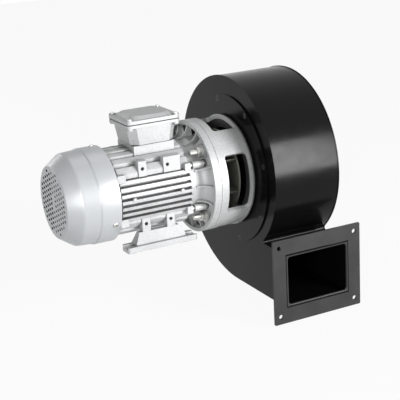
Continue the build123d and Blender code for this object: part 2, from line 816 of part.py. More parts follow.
def make_preload_washer():
    x0 = rear_bearing_x + bearing_w
    return ring(x0, x0 + washer_t, washer_out_r, washer_in_r)


def make_front_tie_screws():
    screws = []
    for y, z in tie_places():
        seat = tie_boss_front + tie_washer_t
        bore = rod(tie_boss_front - 1, seat + 1, tie_screw_r + screw_gap, y, z)
        washer = rod(tie_boss_front, seat, tie_washer_r, y, z) - bore
        shank = rod(frame_front - tie_depth, seat, tie_screw_r, y, z)
        screws += [washer, shank + rod(seat, seat + tie_head_h, tie_head_r, y, z)]
    return screws


def make_rear_tie_screws():
    seat = frame_rear - rear_shield_t
    screws = []
    for y, z in tie_places():
        shank = rod(seat, frame_rear + tie_depth, tie_screw_r, y, z)
        screws.append(shank + rod(seat - tie_head_h, seat, tie_head_r, y, z))
    return screws


def make_flange_bolts():
    seat = flange_front + lantern_rear_t
    bolts = []
    for angle in bolt_angles:
        y, z = polar(bolt_circle_r, angle)
        head = hexagon(seat, seat + bolt_head_h, bolt_head_flats, y, z)
        bolts.append(head + rod(bolt_tail_x, seat, bolt_r, y, z))
    return bolts


def make_flange_nuts():
    seat = nut_seat_x - nut_washer_t
    pieces = []
    for angle in bolt_angles:
        y, z = polar(bolt_circle_r, angle)
        bore = rod(seat - nut_h - 1, nut_seat_x + 1, bolt_r + screw_gap, y, z)
        pieces.append(rod(seat, nut_seat_x, nut_washer_r, y, z) - bore)
        pieces.append(hexagon(seat - nut_h, seat, bolt_head_flats, y, z) - bore)
    return pieces


# Fan cover and motor fan

def cover_outline(front, inset):
    """Half section of the cover, drawn in by inset."""
    step_r = cover_r - cover_step
    slope = math.atan2(cover_ridge_r - cover_end_r, cover_ridge_x - cover_rear)
    corner = inset * math.tan((math.pi / 2 - slope) / 2)
    ridge = inset * math.tan(slope / 2)
    return Polyline((cover_rear + inset, 0), (cover_rear + inset, cover_end_r - corner),
                    (cover_ridge_x + ridge, cover_ridge_r - inset),
                    (cover_step_x - 2 + inset / 2, step_r - inset), (cover_step_x + inset / 2, cover_r - inset),
                    (front, cover_r - inset), (front, 0), close=True)


def slot_places():
    spots = []
    rows = int(slot_field_r // slot_pitch[1])
    for row in range(-rows, rows + 1):
        shift = slot_pitch[0] / 2 if row % 2 else 0.0
        for column in range(-8, 9):
            u, v = column * slot_pitch[0] + shift, row * slot_pitch[1]
            if slot_hub_r < math.hypot(u, v) < slot_field_r - slot_size[1] / 2:
                spots.append((u, v))
    return spots


def make_fan_cover():
    cover = turned(cover_outline(cover_front, 0)) - turned(cover_outline(cover_front + 1, cover_t))
    slots = Sketch() + [Pos(u, v) * Rectangle(*slot_size) for u, v in slot_places()]
    holes = []
    for angle in cover_screw_angles:
        hole = upright(cover_screw_r + screw_gap, cover_r - 4, cover_r + 4, cover_screw_x, 0)
        holes.append(spun(hole, angle))
    return cover - slab(slots, cover_rear - 1, cover_rear + cover_t + 1) - holes


def make_fan_cover_screws():
    screws = []
    for angle in cover_screw_angles:
        seat = cover_r + screw_gap
        shank = upright(cover_screw_r, cover_r - cover_t - cover_lug_depth + 1, seat, cover_screw_x, 0)
        head = upright(cover_head_r, seat, seat + cover_head_h, cover_screw_x, 0)
        screws.append(spun(shank + head, angle))
    return screws


def make_motor_fan():
    hub = rod(motor_fan_rear, motor_fan_front, motor_fan_hub_r)
    disc = rod(motor_fan_front - motor_fan_disc_t, motor_fan_front, motor_fan_disc_r)
    half = motor_fan_blade_t / 2
    blade = block(motor_fan_rear + 2, motor_fan_front - 1, -half, half, motor_fan_hub_r - 2, motor_fan_r)
    blades = [spun(blade, 360 / motor_fan_blades * k) for k in range(motor_fan_blades)]
    bore = rod(motor_fan_rear - 1, motor_fan_front + 1, shaft_tail_r + seat_gap)
    return hub + [disc] + blades - bore


def make_motor_fan_clip():
    return ring(clip_x - clip_t / 2, clip_x + clip_t / 2, clip_out_r, shaft_tail_r - clip_groove + seat_gap)


# Spacer ring and cooling wheel

def make_lantern():
    wall_r = flange_r - lantern_wall
    outer = [Polyline((flange_front, flange_r - lantern_chamfer), (flange_front + lantern_chamfer, flange_r),
                      (shoulder_x, flange_r)),
             ThreePointArc((shoulder_x, flange_r), ((shoulder_x + lantern_front) / 2 + 1.5, flange_r - 1.2),
                           (lantern_front, lantern_nose_r))]
    front_wall, rear_wall = lantern_front - lantern_front_t, flange_front + lantern_rear_t
    bore = spigot_r + seat_gap
    inner = Polyline((lantern_front, lantern_nose_r), (lantern_front, lantern_mouth_r),
                     (front_wall, lantern_mouth_r), (front_wall, wall_r), (rear_wall, wall_r),
                     (rear_wall, bore), (flange_front, bore), (flange_front, flange_r - lantern_chamfer))
    body = turned(*outer, inner)
    opening = sector(lantern_mouth_r - lantern_wall, flange_r + lantern_wall, 90, window_half)
    window = slab(opening, window_rear, window_front)
    corners = [edge for edge in window.edges().filter_by(GeomType.LINE) if abs(edge.tangent_at(0).X) < 0.5]
    window = fillet(corners, window_corner_r)
    cuts = [spun(window, 90 * k) for k in range(4)]
    cuts += [slab(sector(pocket_in_r, pocket_out_r, angle, pocket_half), flange_front - 1,
                  flange_front + lantern_rear_t + 1) for angle in (90, 270)]
    cuts += [rod(flange_front - 1, flange_front + lantern_rear_t + 1, bolt_hole_r, y, z)
             for y, z in screw_spots(bolt_circle_r, 4, bolt_angles[0])]
    cuts += [rod(lantern_front - lantern_front_t - 1, lantern_front + 1, lantern_screw_r + screw_gap, y, z)
             for y, z in screw_spots(lantern_screw_circle_r, 4, bolt_angles[0])]
    return body - cuts


def make_cooling_wheel():
    hub = rod(wheel_rear, wheel_disc_x, wheel_hub_r)
    disc = rod(wheel_disc_x, wheel_disc_x + wheel_disc_t, wheel_r)
    half = wheel_blade_t / 2
    blade = block(wheel_rear, wheel_disc_x + 1, -half, half, wheel_hub_r - 2, wheel_r)
    blades = [spun(blade, wheel_phase + 360 / wheel_blades * k) for k in range(wheel_blades)]
    front = wheel_disc_x + wheel_disc_t
    hole = upright(wheel_screw_r + screw_gap, 0, wheel_hub_r + 1, wheel_screw_x, 0)
    cuts = [rod(wheel_rear - 1, front + 1, shaft_r + seat_gap), hub_keyway(wheel_rear - 1, front + 1),
            spun(hole, wheel_phase + 180 / wheel_blades)]
    return hub + [disc] + blades - cuts


def make_cooling_wheel_screw():
    screw = upright(wheel_screw_r, shaft_r + seat_gap, wheel_hub_r, wheel_screw_x, 0)
    return spun(screw, wheel_phase + 180 / wheel_blades)


# Casing

def casing_outline(inset):
    """Volute of four quarter arcs about a small square, with the outlet duct, drawn in by inset."""
    half = volute_step / 2
    right, left = volute_u + half, volute_u - half
    high, low = volute_v + half, volute_v - half
    r2 = volute_r - inset
    r1, r3, r4 = r2 - volute_step, r2 + volute_step, r2 + 2 * volute_step
    round_r = tongue_r + inset
    tongue_v = duct_top + tongue_r
    tongue_u = right + math.sqrt((r1 + round_r) ** 2 - (tongue_v - high) ** 2)
    lean = math.degrees(math.atan2(tongue_v - high, tongue_u - right))
    top, bottom = duct_top - inset, duct_bottom + inset
    end = -outlet_y
    edges = [CenterArc((right, high), r1, lean, -lean), CenterArc((left, high), r2, 0, 90),
             CenterArc((left, low), r3, 90, 90), CenterArc((right, low), r4, 180, 90),
             CenterArc((tongue_u, tongue_v), round_r, lean + 180, 90 - lean),
             Polyline((tongue_u, top), (end, top), (end, bottom), (right, bottom))]
    return make_face(Curve() + edges)


def make_scroll_back_plate():
    spots = screw_spots(mount_screw_circle_r, mount_screw_count, mount_screw_phase)
    plate = slab(casing_outline(0), mount_plate_front, back_plate_front)
    holes = [rod(mount_plate_front - 1, back_plate_front + 1, mount_screw_r + screw_gap, y, z)
             for y, z in spots]
    return plate - rod(mount_plate_front - 1, back_plate_front + 1, back_opening_r) - holes


def make_scroll_wrap():
    band = casing_outline(plate_lip) - casing_outline(plate_lip + sheet_t)
    return slab(band, back_plate_front, front_plate_rear)


def make_scroll_front_plate():
    plate = slab(casing_outline(0), front_plate_rear, casing_front)
    opening = rod(front_plate_rear - 1, casing_front + 1, inlet_throat_r + inlet_bell_r + 1)
    holes = [rod(front_plate_rear - 1, casing_front + 1, mount_screw_r + screw_gap, y, z)
             for y, z in screw_spots(inlet_screw_circle_r, inlet_screw_count)]
    holes += [rod(front_plate_rear - 1, casing_front + 1, inlet_duct_hole_r, y, z)
              for y, z in screw_spots(inlet_duct_circle_r, inlet_duct_count, bolt_angles[0])]
    return plate - opening - holes


def make_outlet_flange():
    mid_x, mid_z = (mount_plate_front + casing_front) / 2, (duct_top + duct_bottom) / 2
    face = Plane(origin=(mid_x, outlet_y, mid_z), x_dir=(1, 0, 0), z_dir=(0, -1, 0))
    sheet = RectangleRounded(*flange_size, flange_corner_r) - Rectangle(casing_width, duct_height)
    holes = [Pos(sx * flange_hole_pitch[0] / 2, sy * flange_hole_pitch[1] / 2) * Circle(flange_hole_r)
             for sx, sy in four_corners]
    return extrude(face * (sheet - holes), amount=-flange_t)


def make_mounting_plate():
    plate = ring(lantern_front, mount_plate_front, mount_plate_r, shaft_r + shaft_clearance)
    spots = screw_spots(mount_screw_circle_r, mount_screw_count, mount_screw_phase)
    holes = [rod(lantern_front - 1, mount_plate_front + 1, mount_screw_r + screw_gap, y, z)
             for y, z in spots]
    holes += [countersink(lantern_front, 1, y, z, seat_gap) for y, z in spots]
    holes += [rod(lantern_front - 1, mount_plate_front + 1, lantern_screw_r + screw_gap, y, z)
              for y, z in screw_spots(lantern_screw_circle_r, 4, bolt_angles[0])]
    return plate - holes


def make_mounting_plate_screws():
    pieces = []
    for y, z in screw_spots(mount_screw_circle_r, mount_screw_count, mount_screw_phase):
        head = countersink(lantern_front, 1, y, z)
        pieces.append(head + rod(lantern_front, back_plate_front + mount_nut_h + 1, mount_screw_r, y, z))
        nut = hexagon(back_plate_front, back_plate_front + mount_nut_h, mount_nut_flats, y, z)
        pieces.append(nut - rod(back_plate_front - 1, back_plate_front + mount_nut_h + 1,
                                mount_screw_r + screw_gap, y, z))
    return pieces


def make_lantern_screws():
    screws = []
    for y, z in screw_spots(lantern_screw_circle_r, 4, bolt_angles[0]):
        seat = mount_plate_front
        head = rod(seat, seat + lantern_screw_head_h, lantern_screw_head_r, y, z)
        screws.append(head + rod(lantern_front - lantern_front_t, seat, lantern_screw_r, y, z))
    return screws


# Inlet

def make_inlet_cone():
    face_x = casing_front + sheet_t
    bell_x = face_x - inlet_bell_r
    bell_r = inlet_throat_r + inlet_bell_r
    tip = bell_x - inlet_throat_length
    inside = CenterArc((bell_x, bell_r), inlet_bell_r, -90, 90)
    outside = CenterArc((bell_x, bell_r), inlet_bell_r - sheet_t, -90, 90)
    rim = Polyline(inside @ 1, (face_x, inlet_ring_r), (casing_front, inlet_ring_r), outside @ 1)
    throat = Polyline(inside @ 0, (tip, inlet_throat_r), (tip, inlet_throat_r + sheet_t), outside @ 0)
    cone = turned(inside, rim, outside, throat)
    spots = screw_spots(inlet_screw_circle_r, inlet_screw_count)
    holes = [rod(casing_front - 1, face_x + 1, mount_screw_r + screw_gap, y, z) for y, z in spots]
    holes += [countersink(face_x, -1, y, z, seat_gap) for y, z in spots]
    holes += [rod(casing_front - 1, face_x + 1, inlet_duct_hole_r, y, z)
              for y, z in screw_spots(inlet_duct_circle_r, inlet_duct_count, bolt_angles[0])]
    return cone - holes


def make_inlet_screws():
    seat = casing_front + sheet_t
    pieces = []
    for y, z in screw_spots(inlet_screw_circle_r, inlet_screw_count):
        shank_end = front_plate_rear - mount_nut_h - 1
        pieces.append(countersink(seat, -1, y, z) + rod(shank_end, seat, mount_screw_r, y, z))
        nut = hexagon(front_plate_rear - mount_nut_h, front_plate_rear, mount_nut_flats, y, z)
        pieces.append(nut - rod(shank_end, seat, mount_screw_r + screw_gap, y, z))
    return pieces


# Impeller with forward-curved blades, which turns from the tongue towards growing radius

def make_impeller_hub():
    hub = rod(hub_rear, hub_front, hub_r)
    seat = rod(blade_rear, blade_rear + hub_flange_t, hub_flange_r)
    cuts = [rod(hub_rear - 1, hub_front + 1, shaft_r + seat_gap), hub_keyway(hub_rear - 1, hub_front + 1)]
    cuts += [rod(blade_rear - 1, blade_rear + hub_flange_t + 1, rivet_r + seat_gap, y, z)
             for y, z in screw_spots(rivet_circle_r, rivet_count)]
    return hub + seat - cuts


def make_impeller_back_plate():
    plate = ring(blade_back, blade_rear, impeller_r, hub_r + seat_gap)
    return plate - [rod(blade_back - 1, blade_rear + 1, rivet_r + seat_gap, y, z)
                    for y, z in screw_spots(rivet_circle_r, rivet_count)]


def make_impeller_blades():
    centre = (blade_in_r, blade_curve_r)
    back = CenterArc(centre, blade_curve_r + blade_t / 2, -90, blade_sweep)
    belly = CenterArc(centre, blade_curve_r - blade_t / 2, -90, blade_sweep)
    section = make_face(Curve() + [back, belly, Line(back @ 0, belly @ 0), Line(back @ 1, belly @ 1)])
    blade = slab(section, blade_rear, blade_front)
    return [Rot(-360 / blade_count * k, 0, 0) * blade for k in range(blade_count)]


def make_impeller_front_ring():
    return ring(blade_front, blade_front + disc_t, impeller_r, ring_in_r)


def make_impeller_rivets():
    rivets = []
    for y, z in screw_spots(rivet_circle_r, rivet_count):
        front = blade_rear + hub_flange_t
        body = rod(blade_back - rivet_head_h, front + rivet_head_h, rivet_r, y, z)
        heads = [rod(blade_back - rivet_head_h, blade_back, rivet_head_r, y, z),
                 rod(front, front + rivet_head_h, rivet_head_r, y, z)]
        rivets.append(body + heads)
    return rivets


def make_impeller_washer():
    return ring(hub_front, hub_front + end_washer_t, end_washer_r, end_bolt_r + screw_gap)


def make_impeller_bolt():
    seat = hub_front + end_washer_t
    head = hexagon(seat, seat + end_bolt_head_h, end_bolt_flats)
    return head + rod(shaft_nose_x - end_bolt_depth + 1, seat, end_bolt_r)


# Write one file for each node

def save(name, shape):
    solids = shape if isinstance(shape, list) else [shape]
    placed = [Pos(0, 0, shaft_height) * solid for item in solids for solid in item.solids()]
    export_step(placed[0] if len(placed) == 1 else Compound(children=placed), f"parts/{name}.step")


os.makedirs("parts", exist_ok=True)

save("motor_frame", make_motor_frame())
save("left_foot", make_foot(1))
save("right_foot", make_foot(-1))
save("foot_screws", make_foot_screws())
save("terminal_box", make_terminal_box())
save("box_gaskets", make_box_gaskets())
save("terminal_lid", make_terminal_lid())
save("lid_screws", make_lid_screws())
save("terminal_board", make_terminal_board())
save("terminal_studs", make_terminal_studs())
save("cable_gland", make_cable_gland())
save("stator_core", make_stator_core())
save("stator_windings", make_stator_windings())
save("rotor_core", make_rotor_core())
for end_name, start_x in (("front", front_bearing_x), ("rear", rear_bearing_x)):
    outer_ring, inner_ring, ball_set = make_bearing(start_x)
    save(f"{end_name}_bearing_outer", outer_ring)
    save(f"{end_name}_bearing_inner", inner_ring)
    save(f"{end_name}_bearing_balls", ball_set)
save("preload_washer", make_preload_washer())
save("shaft", make_shaft())
save("shaft_keys", make_shaft_keys())
save("front_flange_shield", make_front_flange_shield())
save("front_oil_seal", make_front_oil_seal())
save("rear_end_shield", make_rear_end_shield())
save("front_tie_screws", make_front_tie_screws())
save("rear_tie_screws", make_rear_tie_screws())
save("flange_bolts", make_flange_bolts())
save("flange_nuts", make_flange_nuts())
save("fan_cover", make_fan_cover())
save("fan_cover_screws", make_fan_cover_screws())
save("motor_fan", make_motor_fan())
save("motor_fan_clip", make_motor_fan_clip())
save("lantern", make_lantern())
save("lantern_screws", make_lantern_screws())
save("cooling_wheel", make_cooling_wheel())
save("cooling_wheel_screw", make_cooling_wheel_screw())
save("mounting_plate", make_mounting_plate())
save("mounting_plate_screws", make_mounting_plate_screws())
save("scroll_back_plate", make_scroll_back_plate())
save("scroll_wrap", make_scroll_wrap())
save("scroll_front_plate", make_scroll_front_plate())
save("outlet_flange", make_outlet_flange())
save("inlet_cone", make_inlet_cone())
save("inlet_screws", make_inlet_screws())
save("impeller_hub", make_impeller_hub())
save("impeller_back_plate", make_impeller_back_plate())
save("impeller_blades", make_impeller_blades())
save("impeller_front_ring", make_impeller_front_ring())
save("impeller_rivets", make_impeller_rivets())
save("impeller_washer", make_impeller_washer())
save("impeller_bolt", make_impeller_bolt())
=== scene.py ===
import json
import math
import bmesh
import bpy
from mathutils import Matrix, Vector


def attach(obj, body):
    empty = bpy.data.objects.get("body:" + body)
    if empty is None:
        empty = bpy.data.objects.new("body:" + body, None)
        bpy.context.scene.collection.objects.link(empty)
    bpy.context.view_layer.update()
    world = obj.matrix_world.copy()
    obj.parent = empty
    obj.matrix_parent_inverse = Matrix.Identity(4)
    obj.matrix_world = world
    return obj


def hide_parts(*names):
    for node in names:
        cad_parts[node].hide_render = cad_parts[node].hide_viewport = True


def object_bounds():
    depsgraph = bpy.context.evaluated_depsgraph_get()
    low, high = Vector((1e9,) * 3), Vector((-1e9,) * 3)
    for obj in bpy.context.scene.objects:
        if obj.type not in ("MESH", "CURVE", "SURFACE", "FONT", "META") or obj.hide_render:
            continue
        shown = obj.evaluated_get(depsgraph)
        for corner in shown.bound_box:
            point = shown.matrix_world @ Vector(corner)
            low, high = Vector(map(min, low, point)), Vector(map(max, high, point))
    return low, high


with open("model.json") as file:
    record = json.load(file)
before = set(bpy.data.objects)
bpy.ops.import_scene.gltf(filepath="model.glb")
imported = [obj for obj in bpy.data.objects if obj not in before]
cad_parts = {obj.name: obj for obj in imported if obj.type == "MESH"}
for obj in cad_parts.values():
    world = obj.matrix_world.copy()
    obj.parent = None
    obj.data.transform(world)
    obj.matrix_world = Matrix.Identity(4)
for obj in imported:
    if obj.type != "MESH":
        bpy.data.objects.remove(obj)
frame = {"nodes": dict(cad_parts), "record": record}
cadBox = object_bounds()
mm = 0.001
shaftZ = 71.0  # height of the shaft above the feet, in mm
quarter = math.pi / 2
sharpAngle = 35  # faces that meet at more than this, in degrees, keep an edge between them
smallSharpAngle = 32  # the same for fasteners and blades
scene = bpy.context.scene
print("frame loaded")


# Mesh helpers

def linkMesh(name, mesh):
    obj = bpy.data.objects.new(name, mesh)
    scene.collection.objects.link(obj)
    return obj


def meshFrom(name, bm):
    mesh = bpy.data.meshes.new(name)
    bm.to_mesh(mesh)
    bm.free()
    return mesh


def smoothMesh(mesh, angle=sharpAngle):
    mesh.polygons.foreach_set("use_smooth", [True] * len(mesh.polygons))
    mesh.set_sharp_from_angle(angle=math.radians(angle))


def bake(obj):  # turn live modifiers into a plain mesh
    bpy.context.view_layer.update()
    graph = bpy.context.evaluated_depsgraph_get()
    mesh = bpy.data.meshes.new_from_object(
        obj.evaluated_get(graph), preserve_all_data_layers=True, depsgraph=graph)
    obj.modifiers.clear()
    obj.data = mesh
    mesh.name = obj.name


def evenShading(obj, weight=60):  # wide faces keep their own shading beside narrow roundings
    even = obj.modifiers.new("even", "WEIGHTED_NORMAL")
    even.keep_sharp = True
    even.weight = weight
    bake(obj)
    return obj


def bevelled(obj, width, segments):
    edge = obj.modifiers.new("edges", "BEVEL")
    edge.width = width * mm
    edge.segments = segments
    edge.limit_method = "ANGLE"
    edge.angle_limit = math.radians(sharpAngle)
    edge.use_clamp_overlap = True
    edge.miter_outer = "MITER_ARC"
    bake(obj)
    smoothMesh(obj.data)
    return evenShading(obj)


def castCopy(node, name, width, segments, flat=0.6):  # a CAD node with its edges rounded
    weld = 0.002 * mm
    bm = bmesh.new()
    bm.from_mesh(frame["nodes"][node].data)
    bmesh.ops.remove_doubles(bm, verts=bm.verts, dist=weld)
    if flat:  # faces that lean less than this, in degrees, become one
        bmesh.ops.dissolve_limit(
            bm, angle_limit=math.radians(flat), verts=bm.verts, edges=bm.edges)
    mesh = meshFrom(name, bm)
    if "custom_normal" in mesh.attributes:
        mesh.attributes.remove(mesh.attributes["custom_normal"])
    return bevelled(linkMesh(name, mesh), width, segments)


def stitch(bm, rings, loop=False):  # quads between rings of vertices; a ring of one is a pole
    for low, high in zip(rings, rings[1:] + rings[:1] if loop else rings[1:]):
        for k in range(max(len(low), len(high))):
            corners = [low[k % len(low)], low[(k + 1) % len(low)],
                       high[(k + 1) % len(high)], high[k % len(high)]]
            face = [vert for i, vert in enumerate(corners) if vert not in corners[:i]]
            if len(face) > 2:
                bm.faces.new(face)


def around(steps):  # angles of a full turn
    return [2 * math.pi * k / steps for k in range(steps)]


def lathe(bm, outline, steps):  # closed outline of (x, radius) in mm, turned about the shaft
    rings = []
    for x, radius in outline:
        rings.append([bm.verts.new((x * mm, -radius * math.cos(turn) * mm,
                                    (shaftZ + radius * math.sin(turn)) * mm))
                      for turn in around(steps)])
    stitch(bm, rings, loop=True)
    bmesh.ops.recalc_face_normals(bm, faces=bm.faces)


def roundOff(points, radii, steps=5):  # a closed outline with its corners rounded
    straight = math.radians(178)
    mostOfEdge = 0.48
    done = []
    for k, size in enumerate(radii):
        corner = Vector(points[k])
        a, b = Vector(points[k - 1]) - corner, Vector(points[(k + 1) % len(points)]) - corner
        wide = a.angle(b)
        if size <= 0 or wide > straight:
            done.append(tuple(corner))
            continue
        cut = min(size / math.tan(wide / 2), mostOfEdge * a.length, mostOfEdge * b.length)
        real = cut * math.tan(wide / 2)
        middle = (a.normalized() + b.normalized()).normalized()
        centre = corner + middle * (real / math.sin(wide / 2))
        p, q = corner + a.normalized() * cut - centre, corner + b.normalized() * cut - centre
        turn = math.atan2(p.x * q.y - p.y * q.x, p.dot(q))
        for i in range(steps + 1):
            part = turn * i / steps
            done.append((centre.x + p.x * math.cos(part) - p.y * math.sin(part),
                         centre.y + p.x * math.sin(part) + p.y * math.cos(part)))
    return done


def turnedPiece(name, outline, radii, angle=sharpAngle, steps=144):
    bm = bmesh.new()
    lathe(bm, roundOff(outline, radii), steps)
    mesh = meshFrom(name, bm)
    smoothMesh(mesh, angle)
    return linkMesh(name, mesh)


# Fastener shapes in mm, stacked rings along +Z with the head outwards

threadShape = {"pitch": 1.25, "depth": 0.3, "crest": (0.45, 0.6)}  # crest as shares of the pitch
hexCorner = 0.577  # corner radius of a hexagon, as a share of its flats
hexCrown = ((0.9, 0.97), (0.97, 0.91), (1.0, 0.86))  # shares of the height and the corner radius
panCrown = ((0.55, 1.0), (0.85, 0.90), (1.0, 0.74))  # shares of the height and the head's radius
rivetCrown = ((0.5, 0.85), (0.85, 0.55), (1.0, 0.2))
shankTip = 0.4
nutGap = 0.1  # thread to nut or washer, radial
hexSocket = 4.0


def hexagonal(flats, cap=math.inf):  # radius of a hexagon, cut by a circle of radius cap
    half, whole = math.pi / 6, math.pi / 3
    return lambda turn: min(cap, flats / 2 / math.cos((turn + half) % whole - half))


def crossShaped(arm, half):
    def radius(turn):
        c, s = abs(math.cos(turn)) + 1e-9, abs(math.sin(turn)) + 1e-9  # never zero
        return max(min(arm / c, half / s), min(half / c, arm / s))
    return radius


def stack(bm, levels, steps=48, hollow=False):  # levels of (height, radius or function of angle)
    turns = around(steps)
    rings = []
    for height, radius in levels:
        sizes = [radius(t) if callable(radius) else radius for t in turns]
        rings.append([bm.verts.new((r * math.cos(t) * mm, r * math.sin(t) * mm, height * mm))
                      for r, t in zip(sizes, turns)])
    if not hollow:
        rings.insert(0, [bm.verts.new((0, 0, levels[0][0] * mm))])
        rings.append([bm.verts.new((0, 0, levels[-1][0] * mm))])
    stitch(bm, rings, loop=hollow)


def crowned(foot, height, radius, crown):
    return [(foot + height * up, radius * out) for up, out in crown]


def threaded(radius, start, end):
    pitch, (low, high) = threadShape["pitch"], threadShape["crest"]
    root = radius - threadShape["depth"]
    levels = [(start, root - 0.3), (start + shankTip, root)]
    for k in range(int((end - start - 2 * shankTip) / pitch)):
        foot = start + shankTip + k * pitch
        levels += [(foot + low * pitch, radius), (foot + high * pitch, radius),
                   (foot + pitch, root)]
    return levels + [(end - 0.2, radius)]


def hexHead(flats, height):
    full = hexagonal(flats)
    return [(0, hexagonal(flats, flats * 0.49)), (height * 0.08, full), (height * 0.8, full)] + [
        (height * up, hexagonal(flats, flats * hexCorner * out)) for up, out in hexCrown]


def hexBolt(bm, flats, height, radius, length, thread):
    seat = -0.01
    shank = threaded(radius, -length, -length + thread) + [(seat, radius)]
    stack(bm, shank + hexHead(flats, height))


def hexNut(bm, flats, low, high, bore):
    full, blunt = hexagonal(flats), hexagonal(flats, flats * hexCorner * 0.87)
    edge = (high - low) * 0.12
    chamfer = 0.3
    stack(bm, [(low, bore + chamfer), (low, blunt), (low + edge, full), (high - edge, full),
               (high - edge * 0.4, hexagonal(flats, flats * hexCorner * 0.94)), (high, blunt),
               (high, bore + chamfer), (high - chamfer, bore), (low + chamfer, bore)],
          hollow=True)


def washer(bm, low, high, outer, bore):
    edge = 0.25
    stack(bm, [(low, bore), (low, outer - edge), (low + edge, outer), (high - edge, outer),
               (high, outer - edge), (high, bore)], hollow=True)


def panScrew(bm, headR, height, radius, length, foot=0.0, socket=None):
    drive = socket or crossShaped(headR * 0.52, headR * 0.12)
    driveFloor = foot + height * 0.35
    edge = 0.15
    stack(bm, [(foot - length, radius - shankTip), (foot - length + shankTip, radius),
               (foot, radius), (foot, headR - edge), (foot + edge, headR)]
          + crowned(foot, height, headR, panCrown)
          + [(foot + height, drive), (driveFloor, drive)])


def flushScrew(bm, headR, depth, radius, length):
    drive = crossShaped(headR * 0.55, headR * 0.13)
    driveFloor = -1.1
    stack(bm, [(-length, radius - 0.3), (-length + shankTip, radius), (-depth, radius),
               (-depth, headR - depth), (-0.12, headR - 0.05), (0, headR - 0.15), (0, drive),
               (driveFloor, drive)])


def domedRivet(bm, headR, height, radius, grip):
    stack(bm, [(-grip - height, 0.5 * headR), (-grip - height * 0.5, 0.85 * headR),
               (-grip, headR), (-grip, radius), (0, radius), (0, headR)]
          + crowned(0, height, headR, rivetCrown), steps=24)


def sourceShape(name, *makers, place=None):
    bm = bmesh.new()
    for maker, *sizes in makers:
        maker(bm, *sizes)
    bmesh.ops.recalc_face_normals(bm, faces=bm.faces)
    if place:
        bm.transform(place)
    mesh = meshFrom(name, bm)
    smoothMesh(mesh, smallSharpAngle)
    return linkMesh(name, mesh)


# Geometry Nodes helpers

def newTree(name, sockets):
    tree = bpy.data.node_groups.new(name, "GeometryNodeTree")
    tree.interface.new_socket("Geometry", in_out="OUTPUT", socket_type="NodeSocketGeometry")
    for label, kind in sockets:
        tree.interface.new_socket(label, in_out="INPUT", socket_type="NodeSocket" + kind)
    return tree, tree.nodes.new("NodeGroupInput").outputs


def put(tree, kind, inputs=None, **settings):
    node = tree.nodes.new(kind)
    for key, value in settings.items():
        setattr(node, key, value)
    for key, value in (inputs or {}).items():
        if isinstance(value, bpy.types.NodeSocket):
            tree.links.new(value, node.inputs[key])
        else:
            node.inputs[key].default_value = value
    return node


def calc(tree, operation, a, b=0.0):
    return put(tree, "ShaderNodeMath", {0: a, 1: b}, operation=operation).outputs[0]


def vec(tree, x=0.0, y=0.0, z=0.0):
    return put(tree, "ShaderNodeCombineXYZ", {"X": x, "Y": y, "Z": z}).outputs[0]


def joined(tree, parts):
    node = put(tree, "GeometryNodeJoinGeometry")
    for part in parts:
        tree.links.new(part, node.inputs[0])
    return node.outputs[0]


def finishTree(tree, given, geometry, facing):  # turn, place, realize and paint
    turned = put(tree, "GeometryNodeTransform", {
        "Geometry": geometry, "Translation": given["Place"], "Rotation": facing}).outputs[0]
    real = put(tree, "GeometryNodeRealizeInstances", {0: turned}).outputs[0]
    painted = put(tree, "GeometryNodeSetMaterial", {
        "Geometry": real, "Material": given["Finish"]}).outputs[0]
    put(tree, "NodeGroupOutput", {0: painted})
    return tree


def placeCopies(tree, given, points, angle=0.0):  # the source at each point, loosely turned
    loose = put(tree, "FunctionNodeRandomValue", {
        2: 0.0, 3: given["Spin"], "Seed": given["Seed"]}, data_type="FLOAT").outputs[1]
    turn = vec(tree, 0.0, 0.0, calc(tree, "ADD", angle, loose))
    source = put(tree, "GeometryNodeObjectInfo", {"Object": given["Source"]}).outputs["Geometry"]
    return put(tree, "GeometryNodeInstanceOnPoints", {
        "Points": points, "Instance": source, "Rotation": turn}).outputs[0]


def grow(name, tree, values, angle=smallSharpAngle):  # run a tree and keep a plain mesh
    obj = linkMesh(name, bpy.data.meshes.new(name))
    build = obj.modifiers.new("build", "NODES")
    build.node_group = tree
    for item in tree.interface.items_tree:
        if item.in_out == "INPUT":
            build[item.identifier] = values[item.name]
    bake(obj)
    smoothMesh(obj.data, angle)
    return obj


def makeRingTree():  # copies of a source round the shaft
    tree, given = newTree("roundTheShaft", [
        ("Source", "Object"), ("Count", "Int"), ("Radius", "Float"), ("Phase", "Float"),
        ("Step", "Float"), ("Follow", "Float"), ("Spin", "Float"), ("Seed", "Int"),
        ("Facing", "Float"), ("Place", "Vector"), ("Finish", "Material")])
    line = put(tree, "GeometryNodeMeshLine", {"Count": given["Count"], "Offset": (0, 0, 0)})
    index = put(tree, "GeometryNodeInputIndex").outputs[0]
    angle = calc(tree, "ADD", given["Phase"], calc(tree, "MULTIPLY", index, given["Step"]))
    spot = vec(tree, calc(tree, "MULTIPLY", given["Radius"], calc(tree, "COSINE", angle)),
               calc(tree, "MULTIPLY", given["Radius"], calc(tree, "SINE", angle)))
    points = put(tree, "GeometryNodeSetPosition", {
        "Geometry": line.outputs[0], "Position": spot}).outputs[0]
    copies = placeCopies(tree, given, points, calc(tree, "MULTIPLY", angle, given["Follow"]))
    return finishTree(tree, given, copies, vec(tree, 0.0, given["Facing"]))


def makeGridTree():  # copies of a source at the nodes of a grid
    tree, given = newTree("onGrid", [
        ("Source", "Object"), ("Columns", "Int"), ("Rows", "Int"), ("Width", "Float"),
        ("Depth", "Float"), ("Spin", "Float"), ("Seed", "Int"), ("Facing", "Vector"),
        ("Place", "Vector"), ("Finish", "Material")])
    grid = put(tree, "GeometryNodeMeshGrid", {
        "Size X": given["Width"], "Size Y": given["Depth"],
        "Vertices X": given["Columns"], "Vertices Y": given["Rows"]}).outputs[0]
    return finishTree(tree, given, placeCopies(tree, given, grid), given["Facing"])


